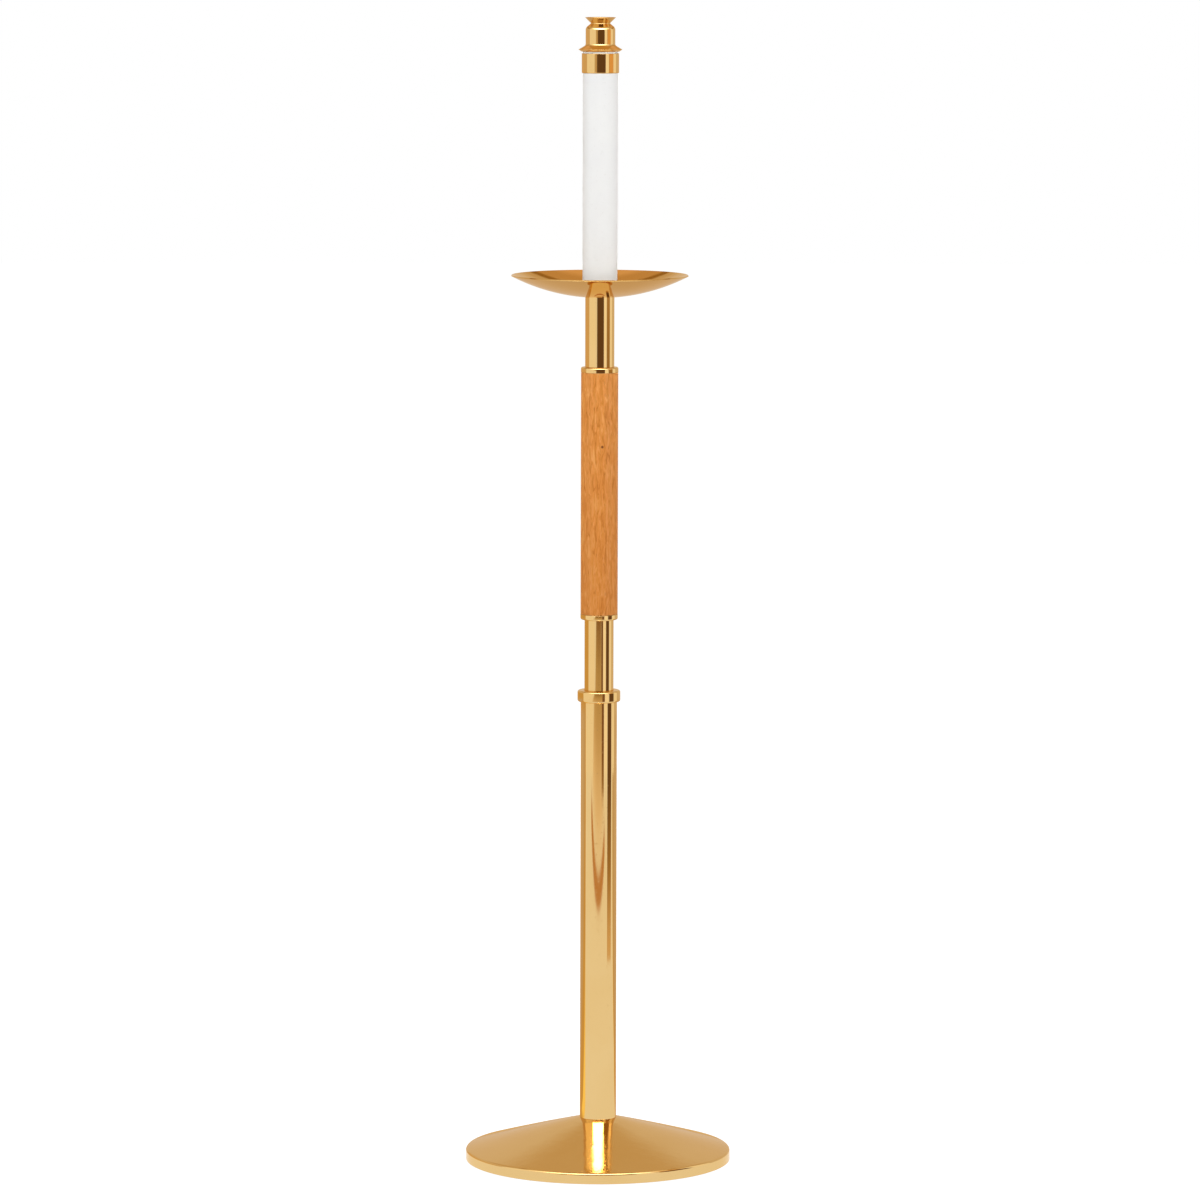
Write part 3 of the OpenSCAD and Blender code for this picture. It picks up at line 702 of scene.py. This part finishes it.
# The candle's shell: extruded white nylon tube with a satin skin. A plug glued inside carries the spring.
# The pusher is of the same nylon.
def nylon_material():
    """White nylon: faint draw lines along the tube, a soft depth and a little dust."""
    material, tree, shader, place = new_material("white_nylon")
    draw = noise(tree, drawn_out(tree, place, 0.02), scale=700.0, detail=3.0)
    marks = add_group(tree, handling, {"Vector": place, "Scale": 22.0})
    clean = mix_colours(tree, marks["Clouds"], NYLON_WHITE, NYLON_GREY)
    set_inputs(tree, shader, {
        "Base Color": tinted(tree, clean, DUST, marks["Flecks"], *WHOLE, DUST_SHARE),
        "Roughness": map_range(tree, draw, NOISE_SPREAD, NYLON_ROUGHNESS),
        "Normal": bump_normal(tree, draw, strength=0.15, depth=0.00005),
        "Subsurface Weight": 0.12,
        "Subsurface Radius": (0.004, 0.004, 0.004),
    })
    return material


NYLON_WHITE = (0.86, 0.86, 0.85)
NYLON_GREY = (0.83, 0.83, 0.83)
NYLON_ROUGHNESS = (0.36, 0.46)
DUST = (0.60, 0.58, 0.55)
DUST_SHARE = 0.18
white_nylon = nylon_material()
turned_piece("candle_tube", ring_outline((candle_low, candle_high), shell_bore, [BROKEN_EDGE] * 4),
             white_nylon, "candle", "candle_shell")
dress_hidden(["shell_plug", "pusher"], white_nylon)


# The feed spring: drawn steel wire, closer wound at both ends, that lifts the refill as it burns.
# It stands on the shell's plug and shortens as the refill is pressed down.
def clouded_material(name, scale, pale, deep, roughness, plain):
    """A stuff of two tones that lie in soft clouds, duller in small flecks."""
    material, tree, shader, place = new_material(name)
    marks = add_group(tree, handling, {"Vector": place, "Scale": scale})
    set_inputs(tree, shader, {
        "Base Color": mix_colours(tree, marks["Clouds"], pale, deep),
        "Roughness": map_range(tree, marks["Flecks"], WHOLE, roughness),
        **plain,
    })
    return material


def wind(shape, ring, turns, rise, steps_per_turn):
    """Sweeps a ring of wire up a helix and returns its last ring."""
    steps = round(turns * steps_per_turn)
    return sweep_round(shape, ring, 2 * math.pi * turns, steps, rise / steps)


def wire_ring(shape, wire_radius, place):
    """An upright ring of wire, square to the helix at its start."""
    turn = Matrix.Translation(place) @ Matrix.Rotation(math.pi / 2, 4, "X")
    made = bmesh.ops.create_circle(shape, cap_ends=False, segments=WIRE_SIDES, radius=wire_radius,
                                   matrix=turn)
    return made["verts"] + list({edge for vert in made["verts"] for edge in vert.link_edges})


def close_ends(shape):
    """Caps the open ends of a swept wire."""
    rims = [edge for edge in shape.edges if edge.is_boundary]
    bmesh.ops.holes_fill(shape, edges=rims, sides=0)


WIRE_PALE = (0.45, 0.46, 0.48)
WIRE_DARK = (0.32, 0.31, 0.30)
spring_wire = clouded_material("spring_wire", scale=120.0, pale=WIRE_PALE, deep=WIRE_DARK,
                               roughness=(0.25, 0.4), plain={"Metallic": 1.0})
spring_low, spring_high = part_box("feed_spring")
WIRE_RADIUS = 0.0005
WIRE_SIDES = 8
SPRING_TURNS = 14
SPRING_STEPS = 32
END_PITCH = 0.0015
path_radius = spring_high.x - WIRE_RADIUS
path_rise = spring_high.z - spring_low.z - 2 * WIRE_RADIUS
spring_shape = bmesh.new()
wire = wire_ring(spring_shape, WIRE_RADIUS, (path_radius, 0, spring_low.z + WIRE_RADIUS))
for turns, rise in ((1, END_PITCH), (SPRING_TURNS - 2, path_rise - 2 * END_PITCH), (1, END_PITCH)):
    wire = wind(spring_shape, wire, turns, rise, SPRING_STEPS)
close_ends(spring_shape)
spring = finish_piece(spring_shape, "spring", spring_wire, "candle", "feed_spring")
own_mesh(spring)


# The refill and its wick: a wax candle with a nose that the burner's heat has shaped, and a cotton braid.
# It stands in the pusher.
def cotton_material():
    """Braided cotton, charred at its tip."""
    material, tree, shader, place = new_material("cotton_braid")
    fibres = noise(tree, place, scale=2600.0, detail=4.0)
    height = add_node(tree, "SeparateXYZ", {0: place}).outputs["Z"]
    clean = mix_colours(tree, fibres, COTTON_SHADE, COTTON_PALE)
    set_inputs(tree, shader, {
        "Base Color": tinted(tree, clean, CHAR, height, char_start, char_full, CHAR_SHARE),
        "Roughness": 0.95,
    })
    return material


WAX_PALE = (0.86, 0.78, 0.60)
WAX_DEEP = (0.78, 0.68, 0.48)
candle_wax = clouded_material("candle_wax", scale=90.0, pale=WAX_PALE, deep=WAX_DEEP, roughness=(0.4, 0.55),
                              plain={"Subsurface Weight": 0.3, "Subsurface Radius": (0.006, 0.004, 0.002)})
wax_low, wax_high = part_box("wax_refill")
wick_low, wick_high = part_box("wick")
spigot_low, burner_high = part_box("burner")
NOSE_RADIUS = 0.0082
NOSE_FLAT = 0.001
FACE_GAP = 0.0003
wax_shoulder = spigot_low.z - FACE_GAP
wick_hole = wick_high.x + SOLDER_GAP
turned_piece("refill", [
    (wick_hole, wax_low.z, 0),
    (wax_high.x, wax_low.z, BROKEN_EDGE),
    (wax_high.x, wax_shoulder, SOFT_EDGE),
    (NOSE_RADIUS, wax_shoulder, BROKEN_EDGE),
    (wick_hole + NOSE_FLAT, wax_high.z, SOFT_EDGE),
    (wick_hole, wax_high.z, 0),
], candle_wax, "wax", "wax_refill")
COTTON_SHADE = (0.55, 0.49, 0.36)
COTTON_PALE = (0.82, 0.77, 0.63)
CHAR = (0.02, 0.016, 0.013)
CHAR_SHARE = 0.95
CHAR_LENGTH = 0.005
CHAR_TIP = 0.001
STRANDS = 3
STRAND_LAY = 0.006
STRAND_STEPS = 16
WICK_PER_STRAND = 2.2
char_start = wick_high.z - CHAR_LENGTH
char_full = wick_high.z - CHAR_TIP
strand_radius = wick_high.x / WICK_PER_STRAND
wick_rise = wick_high.z - wick_low.z
wick_shape = bmesh.new()
for strand in range(STRANDS):
    ring = wire_ring(wick_shape, strand_radius, (wick_high.x - strand_radius, 0, wick_low.z))
    verts = [item for item in ring if isinstance(item, bmesh.types.BMVert)]
    bmesh.ops.rotate(wick_shape, verts=verts, cent=(0, 0, 0),
                     matrix=Matrix.Rotation(2 * math.pi * strand / STRANDS, 3, "Z"))
    wind(wick_shape, ring, wick_rise / STRAND_LAY, wick_rise, STRAND_STEPS)
close_ends(wick_shape)
finish_piece(wick_shape, "wick_braid", cotton_material(), "wax", "wick")


# The shell's collar: turned brass, with a band outside the shell, a lip over its end and a threaded
# sleeve inside it, all in one piece. The lower edge of the band is rounded.
band_low, band_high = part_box("shell_collar")
THREAD_RADIUS = 0.0115
SLEEVE_BELOW = 0.001
BAND_ROUNDING = 0.0009
BAND_INNER_EDGE = 0.0001
sleeve_foot = spigot_low.z - SLEEVE_BELOW
turned_piece("candle_collar", [
    (THREAD_RADIUS, sleeve_foot, FINE_EDGE),
    (shell_bore - SOLDER_GAP, sleeve_foot, FINE_EDGE),
    (shell_bore - SOLDER_GAP, candle_high.z, 0),
    (candle_high.x + SOLDER_GAP, candle_high.z, 0),
    (candle_high.x + SOLDER_GAP, band_low.z, BAND_INNER_EDGE),
    (band_high.x, band_low.z, BAND_ROUNDING),
    (band_high.x, band_high.z, CLEAN_EDGE),
    (THREAD_RADIUS, band_high.z, CLEAN_EDGE),
], polished_brass, "candle", "shell_collar")


# The heat washer: a white fibre ring between the collar and the burner's brim.
# It lies loose on the collar and comes up with the burner.
def fibre_material():
    """Pressed white fibre, a little yellowed by heat."""
    material, tree, shader, place = new_material("white_fibre")
    fibres = noise(tree, place, scale=1600.0, detail=5.0, distortion=1.5)
    set_inputs(tree, shader, {
        "Base Color": mix_colours(tree, fibres, FIBRE_WHITE, FIBRE_YELLOWED),
        "Normal": bump_normal(tree, fibres, strength=0.3, depth=0.0001),
        "Roughness": 0.8,
    })
    return material


FIBRE_WHITE = (0.90, 0.90, 0.88)
FIBRE_YELLOWED = (0.84, 0.83, 0.80)
fibre_low, fibre_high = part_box("heat_washer")
fibre_edges = (FINE_EDGE, CLEAN_EDGE, CLEAN_EDGE, FINE_EDGE)
turned_piece("fibre_washer", ring_outline((fibre_low, fibre_high), THREAD_RADIUS, fibre_edges),
             fibre_material(), "heat_washer", "heat_washer")


# The burner: turned from brass bar, hollow, with a threaded spigot, a pointed brim, a straight body,
# a neck and a flared mouth. It screws into the collar and holds the refill down.
SPIGOT_ROOT = 0.0109
SPIGOT_CREST = 0.0114
BURNER_BORE = 0.0085
UNDER_RADIUS = 0.0172
BRIM_HEIGHT = 0.0019
BRIM_TOP = 0.0058
BRIM_POINT = 0.00035
BRIM_HOLLOW = 0.0013
BODY_RADIUS = 0.0135
BODY_TOP = 0.0217
SHOULDER_ROUNDING = 0.0020
SHOULDER_RISE = 0.0039
NECK_RADIUS = 0.0086
NECK_HEIGHT = 0.0256
NECK_ROUNDING = 0.0007
FLARE_RADIUS = 0.0142
FLARE_WALL = 0.0016
FLARE_ROUNDING = 0.0005
THROAT_ROUNDING = 0.0005
THREAD_PITCH = 0.0015
THREAD_TURNS = 5
THREAD_STEPS = 64
RIDGE_START = 0.0006
RIDGE_HALF = 0.0005
RIDGE_SINK = 0.0001
brim_radius = burner_high.x
burner_foot = fibre_high.z
body_top = burner_foot + BODY_TOP
neck_height = burner_foot + NECK_HEIGHT
throat_radius = NECK_RADIUS - FLARE_WALL
burner_shape = bmesh.new()
spin_outline(burner_shape, [
    (BURNER_BORE, spigot_low.z, CLEAN_EDGE),
    (SPIGOT_ROOT, spigot_low.z, BROKEN_EDGE),
    (SPIGOT_ROOT, burner_foot, 0),
    (UNDER_RADIUS, burner_foot, BROKEN_EDGE),
    (brim_radius, burner_foot + BRIM_HEIGHT, BRIM_POINT),
    (BODY_RADIUS, burner_foot + BRIM_TOP, BRIM_HOLLOW),
    (BODY_RADIUS, body_top, SHOULDER_ROUNDING),
    (NECK_RADIUS, neck_height, NECK_ROUNDING),
    (FLARE_RADIUS, burner_high.z, FLARE_ROUNDING),
    (FLARE_RADIUS - FLARE_WALL, burner_high.z, CLEAN_EDGE),
    (throat_radius, neck_height, SOFT_EDGE),
    (throat_radius, body_top, THROAT_ROUNDING),
    (BURNER_BORE, body_top - SHOULDER_RISE, THROAT_ROUNDING),
])
ridge_low = spigot_low.z + RIDGE_START
ridge = [burner_shape.verts.new(corner) for corner in (
    (SPIGOT_ROOT - RIDGE_SINK, 0, ridge_low),
    (SPIGOT_CREST, 0, ridge_low + RIDGE_HALF),
    (SPIGOT_ROOT - RIDGE_SINK, 0, ridge_low + 2 * RIDGE_HALF),
)]
ridge_edges = [burner_shape.edges.new(ends) for ends in zip(ridge, ridge[1:] + ridge[:1])]
wind(burner_shape, ridge + ridge_edges, THREAD_TURNS, THREAD_TURNS * THREAD_PITCH, THREAD_STEPS)
close_ends(burner_shape)
true_walls(finish_piece(burner_shape, "burner_crown", polished_brass, "burner", "burner"))


# The stage: a white sweep under the torch, which keeps its shadow. The brass mirrors more of the studio:
# the sheet's two ends, one of them folded up, the floor beyond them, soft boxes, the dark gaps between
# them and a tan backdrop.
def colour_ramp(tree, value, low, high, stops):
    """The socket of a colour ramp over a range, with (place, colour) stops."""
    ramp = add_node(tree, "ValToRGB", {0: map_range(tree, value, (low, high), WHOLE)})
    points = ramp.color_ramp.elements
    for point, (place, colour) in zip(points, (stops[0], stops[-1])):
        point.position = (place - low) / (high - low)
        point.color = (*colour, 1)
    for place, colour in stops[1:-1]:
        points.new((place - low) / (high - low)).color = (*colour, 1)
    return ramp.outputs[0]


def bare_tree(owner):
    """The emptied node tree of a material or a world, and the outputs of a Light Path node in it."""
    owner.use_nodes = True
    tree = owner.node_tree
    tree.nodes.clear()
    return tree, add_node(tree, "LightPath").outputs


def place_parts(tree, coordinates="Object"):
    """The sockets X, Y and Z of a point's place."""
    return add_node(tree, "SeparateXYZ", {0: add_node(tree, "TexCoord").outputs[coordinates]}).outputs


def distance_from(tree, value, middle):
    """The socket of how far a value is from a middle."""
    return calculate(tree, "ABSOLUTE", calculate(tree, "SUBTRACT", value, middle))


def only_mirrored(tree, rays):
    """The socket that is 1 for what polished metal shows straight to the camera."""
    direct = calculate(tree, "LESS_THAN", rays["Diffuse Depth"], 0.5)
    return calculate(tree, "MULTIPLY", direct, rays["Is Glossy Ray"])


def mix_shaders(tree, factor, first, second):
    """The socket of two shaders mixed by a factor."""
    return add_node(tree, "MixShader", {0: factor, 1: first, 2: second}).outputs[0]


def by_ray(tree, rays, lighting, mirrored, seen):
    """The socket of three shaders: what lights the object, what the brass mirrors, what the camera sees."""
    lit = mix_shaders(tree, only_mirrored(tree, rays), lighting, mirrored)
    return mix_shaders(tree, rays["Is Camera Ray"], lit, seen)


def sweep_material():
    """White paper: seen as white with the shadow left in, mirrored with the floor in front and behind."""
    material = bpy.data.materials.new("white_sweep")
    tree, rays = bare_tree(material)
    place = place_parts(tree)
    in_front = colour_ramp(tree, place["Y"], -4.4, 0.0, [
        (-4.4, FAR_BROWN), (-3.6, FAR_TAN), (-2.9, NEAR_TAN), (-2.2, NEAR_PALE), (-1.76, PAPER),
        (-1.72, BARE_FLOOR), (-1.49, BARE_FLOOR), (-1.45, PAPER), (0.0, PAPER)])
    behind = colour_ramp(tree, place["Y"], 0.0, 1.5, [
        (0.0, ORANGE_FLOOR), (0.35, ORANGE_FLOOR), (0.5, FLOOR_TAN), (1.5, FLOOR_PALE)])
    to_side = distance_from(tree, place["X"], STRIP_MIDDLE)
    spread = mix_colours(tree, map_range(tree, to_side, STRIP_ENDS, WHOLE), in_front, PAPER)
    sheet_end = map_range(tree, place["X"], SHEET_END_X, SHEET_END_Y)
    past_end = calculate(tree, "SUBTRACT", place["Y"], sheet_end)
    floor = mix_colours(tree, map_range(tree, past_end, SHEET_EDGE, WHOLE), spread, behind)
    off_fold = distance_from(tree, past_end, FOLD_MIDDLE)
    fold = map_range(tree, off_fold, (FOLD_HALF / 2, FOLD_HALF), (1.0, 0.0))
    for ends, shares in ((FOLD_LEFT, (0.0, 1.0)), (FOLD_RIGHT, (1.0, 0.0))):
        fold = calculate(tree, "MULTIPLY", fold, map_range(tree, place["X"], ends, shares))
    folded = mix_colours(tree, fold, floor, FOLD_GOLD)
    paper = add_node(tree, "BsdfDiffuse", {"Color": PAPER_SHADE}).outputs[0]
    glow = add_node(tree, "Emission", {"Color": WHITE, "Strength": PAPER_GLOW}).outputs[0]
    seen = add_node(tree, "AddShader", {0: paper, 1: glow}).outputs[0]
    mirrored = add_node(tree, "Emission", {"Color": folded, "Strength": 1.0}).outputs[0]
    add_node(tree, "OutputMaterial", {"Surface": by_ray(tree, rays, paper, mirrored, seen)})
    return material


def stage_piece(shape, name, material):
    """A piece of the studio, which isn't part of the object."""
    piece = new_object(shape, name, material)
    return piece


SWEEP_SIZE = 14.0
STRIP_MIDDLE = -0.22
STRIP_ENDS = (1.3, 1.65)
SHEET_END_X = (-0.3, 0.5)
SHEET_END_Y = (-0.03, 0.27)
SHEET_EDGE = (0.0, 0.06)
FOLD_MIDDLE = 0.075
FOLD_HALF = 0.085
FOLD_LEFT = (-1.3, -0.4)
FOLD_RIGHT = (-0.24, -0.18)
FOLD_GOLD = (1.25, 0.95, 0.30)
WHITE = (1, 1, 1)
PAPER = (1.0, 0.985, 0.96)
PAPER_SHADE = (0.25, 0.25, 0.25)
PAPER_GLOW = 0.93
FAR_BROWN = (0.30, 0.17, 0.08)
FAR_TAN = (0.56, 0.41, 0.20)
NEAR_TAN = (0.70, 0.52, 0.30)
NEAR_PALE = (0.94, 0.78, 0.60)
BARE_FLOOR = (0.60, 0.28, 0.085)
ORANGE_FLOOR = (0.72, 0.47, 0.17)
FLOOR_TAN = (0.66, 0.51, 0.36)
FLOOR_PALE = (0.71, 0.58, 0.45)
sweep_shape = bmesh.new()
bmesh.ops.create_grid(sweep_shape, x_segments=1, y_segments=1, size=SWEEP_SIZE)
stage_piece(sweep_shape, "sweep", sweep_material())


def card_material(name, strength, stops, middle, half, soft, bounces):
    """A card that glows by its height, with ends that fade: stops are (height, colour), in metres."""
    material = bpy.data.materials.new(name)
    tree, rays = bare_tree(material)
    place = place_parts(tree)
    ahead = calculate(tree, "MULTIPLY", place["Y"], -1.0)
    bearing = calculate(tree, "ARCTAN2", place["X"], ahead)
    from_middle = calculate(tree, "WRAP", calculate(tree, "SUBTRACT", bearing, middle), math.pi, -math.pi)
    to_end = calculate(tree, "ABSOLUTE", from_middle)
    fade = map_range(tree, to_end, (half - soft, half), (1.0, 0.0))
    shown = calculate(tree, "MULTIPLY", only_mirrored(tree, rays), fade)
    if bounces:
        counted = calculate(tree, "COMPARE", rays["Ray Depth"], bounces, 0.5)
        shown = calculate(tree, "MULTIPLY", shown, counted)
    colour = colour_ramp(tree, place["Z"], 0.0, CARD_RANGE, stops)
    glow = add_node(tree, "Emission", {"Color": colour, "Strength": strength}).outputs[0]
    clear = add_node(tree, "BsdfTransparent").outputs[0]
    add_node(tree, "OutputMaterial", {"Surface": mix_shaders(tree, shown, clear, glow)})
    return material


def studio_card(name, bearings, distance, heights, stops, strength=1.0, soft=4, bounces=0):
    """A curved card between two bearings, in degrees to the right of the camera, with soft ends."""
    first, last = (math.radians(bearing) for bearing in bearings)
    low, high = heights
    shape = bmesh.new()
    start = Matrix.Rotation(first, 3, "Z") @ Vector((0, -distance, low))
    foot = shape.verts.new(start)
    head = shape.verts.new(start + Vector((0, 0, high - low)))
    edge = shape.edges.new((foot, head))
    sweep_round(shape, [foot, head, edge], last - first, CARD_STEPS)
    material = card_material(name, strength, stops, (last + first) / 2, (last - first) / 2,
                             math.radians(soft), bounces)
    card = stage_piece(shape, name, material)
    card.visible_camera = False
    card.visible_diffuse = False
    card.visible_shadow = False
    card.visible_transmission = False


CARD_RANGE = 3.0
CARD_STEPS = 12
BOX_WHITE = (1.0, 0.96, 0.88)
DARK = (0.15, 0.08, 0.035)
DEEP_BROWN = (0.26, 0.13, 0.055)
BROWN = (0.42, 0.25, 0.09)
ORANGE = (0.90, 0.50, 0.19)
PALE_ORANGE = (0.78, 0.55, 0.30)
BACK_TAN = (0.76, 0.65, 0.52)
BACK_HIGH = (0.66, 0.49, 0.29)
BACK_BAND = (0.35, 0.18, 0.035)
PAN_AMBER = (0.81, 0.50, 0.25)
PAN_SHADE = (0.63, 0.375, 0.155)
BOX_HEIGHTS = (0, 2.4)
WALL_HEIGHTS = (0, 3.0)
BANK_HEIGHTS = (1.9, 3.2)
STREAK_HEIGHTS = (0.18, 0.30)
plain_white = [(0, BOX_WHITE), (CARD_RANGE, BOX_WHITE)]
plain_brown = [(0, BROWN), (CARD_RANGE, BROWN)]
studio_card("left_box", (-94, -33), 2.6, BOX_HEIGHTS, plain_white, strength=1.05, soft=5)
studio_card("camera_side", (-24, 37), 4.4, (0, 1.5), [(0, DEEP_BROWN), (0.3, DARK), (1.5, DARK)], soft=6)
studio_card("lamp_pole", (17, 34), 2.4, (0, 1.5), [
    (0, BROWN), (0.05, DEEP_BROWN), (0.6, DARK), (1.5, DARK)], soft=3)
studio_card("right_strip", (31, 55), 2.6, BOX_HEIGHTS, plain_white, strength=1.15, soft=3)
studio_card("right_gap", (55, 88), 1.12, (0, 1.15), [
    (0, PALE_ORANGE), (0.02, PALE_ORANGE), (0.1, BROWN), (0.2, DARK), (0.42, DARK), (0.68, BROWN),
    (0.98, ORANGE)])
studio_card("right_box", (85, 115), 2.6, BOX_HEIGHTS, plain_white, strength=1.06)
studio_card("backdrop", (114, 208), 3.2, WALL_HEIGHTS, [(0, BACK_TAN), (1.9, BACK_TAN), (2.6, BACK_HIGH)])
studio_card("back_corner", (204, 269), 3.25, WALL_HEIGHTS, [
    (0, ORANGE_FLOOR), (0.3, ORANGE_FLOOR), (0.5, PALE_ORANGE), (1.9, BACK_TAN), (2.6, BACK_HIGH)])
studio_card("back_band", (100, 260), 1.0, (1.3, 1.56), [
    (1.3, BACK_HIGH), (1.39, BACK_HIGH), (1.44, BACK_BAND), (1.5, BACK_BAND), (1.56, PAN_SHADE)])
studio_card("pan_back", (130, 230), 0.5, (1.17, 1.66), [
    (1.17, PAN_SHADE), (1.27, PAN_SHADE), (1.36, PAN_AMBER), (1.5, PAN_AMBER), (1.66, PAN_SHADE)], soft=10)
studio_card("front_bank", (-66, 60), 2.2, BANK_HEIGHTS, plain_white, strength=9.0, soft=48, bounces=1)
studio_card("front_wings", (-88, 88), 2.25, BANK_HEIGHTS, plain_white, strength=1.7, soft=20, bounces=1)
studio_card("streak_cover", (-60, 60), 0.15, (0.25, 0.36), plain_white, strength=1.5, bounces=2)
for name, bearings, distance, stops, strength in (
    ("streak_left", (-112, -36), 0.2, plain_white, 1.35),
    ("streak_middle", (-38, 41), 0.201, plain_white, 20.0),
    ("streak_gap", (41, 92), 0.2, plain_brown, 1.0),
    ("streak_right", (90, 124), 0.2, plain_white, 1.6),
):
    studio_card(name, bearings, distance, STREAK_HEIGHTS, stops, strength, soft=3, bounces=2)


# The light: wide soft lamps at both sides, in front and behind, and a pale sky all round.
# The sky is white where it is seen, and warm and dimmer where the brass mirrors it.
def soft_lamp(name, place, size, watts):
    """A square soft lamp that lights the object and stays out of its reflections."""
    data = bpy.data.lights.new(name, "AREA")
    data.shape = "SQUARE"
    data.size = size
    data.energy = watts
    lamp = bpy.data.objects.new(name, data)
    lamp.location = place
    lamp.rotation_euler = (TORCH_MIDDLE - Vector(place)).to_track_quat("-Z", "Y").to_euler()
    lamp.visible_glossy = False
    bpy.context.scene.collection.objects.link(lamp)


TORCH_MIDDLE = Vector((0, 0, 0.60))
soft_lamp("left_lamp", (-2.4, -1.3, 1.2), size=1.6, watts=42)
soft_lamp("right_lamp", (2.4, -1.3, 1.2), size=1.6, watts=44)
soft_lamp("front_lamp", (0, -2.8, 1.7), size=1.4, watts=24)
soft_lamp("back_lamp", (0, 2.8, 1.7), size=1.6, watts=60)
SKY_FILL = 0.36
CEILING = (0.80, 0.62, 0.38)
OVERHEAD = (0.40, 0.22, 0.08)
world = bpy.data.worlds.new("studio")
bpy.context.scene.world = world
sky, sky_rays = bare_tree(world)
sky_colour = colour_ramp(sky, place_parts(sky, "Generated")["Z"], *WHOLE, [
    (0.74, BACK_HIGH), (0.85, CEILING), (0.93, CEILING), (0.98, OVERHEAD)])
sky_fill = add_node(sky, "Background", {"Color": WHITE, "Strength": SKY_FILL}).outputs[0]
sky_mirrored = add_node(sky, "Background", {"Color": sky_colour, "Strength": 1.0}).outputs[0]
sky_white = add_node(sky, "Background", {"Color": WHITE, "Strength": 1.0}).outputs[0]
add_node(sky, "OutputWorld", {"Surface": by_ray(sky, sky_rays, sky_fill, sky_mirrored, sky_white)})


# The camera: a long lens, a little above the torch and tilted down, as the ellipses of the base and
# the pan show. The frame is square, and the torch leans in it by a fraction of a degree.
AIM_HEIGHT = 0.520
AIM_SIDE = 0.0008
CAMERA_DISTANCE = 5.85
CAMERA_PITCH = math.radians(6.4)
CAMERA_ROLL = math.radians(0.14)
LENS = 191.5
SENSOR_WIDTH = 36.0
FARTHEST_SEEN = 100.0
camera_data = bpy.data.cameras.new("camera")
camera_data.lens = LENS
camera_data.sensor_width = SENSOR_WIDTH
camera_data.clip_end = FARTHEST_SEEN
camera = bpy.data.objects.new("camera", camera_data)
aim = Vector((AIM_SIDE, 0, AIM_HEIGHT))
camera.location = aim + CAMERA_DISTANCE * Vector((0, -math.cos(CAMERA_PITCH), math.sin(CAMERA_PITCH)))
look = (aim - camera.location).to_track_quat("-Z", "Y")
camera.rotation_euler = (look.to_matrix() @ Matrix.Rotation(CAMERA_ROLL, 3, "Z")).to_euler()
bpy.context.scene.collection.objects.link(camera)
bpy.context.scene.camera = camera
bpy.context.scene.view_settings.view_transform = "Standard"
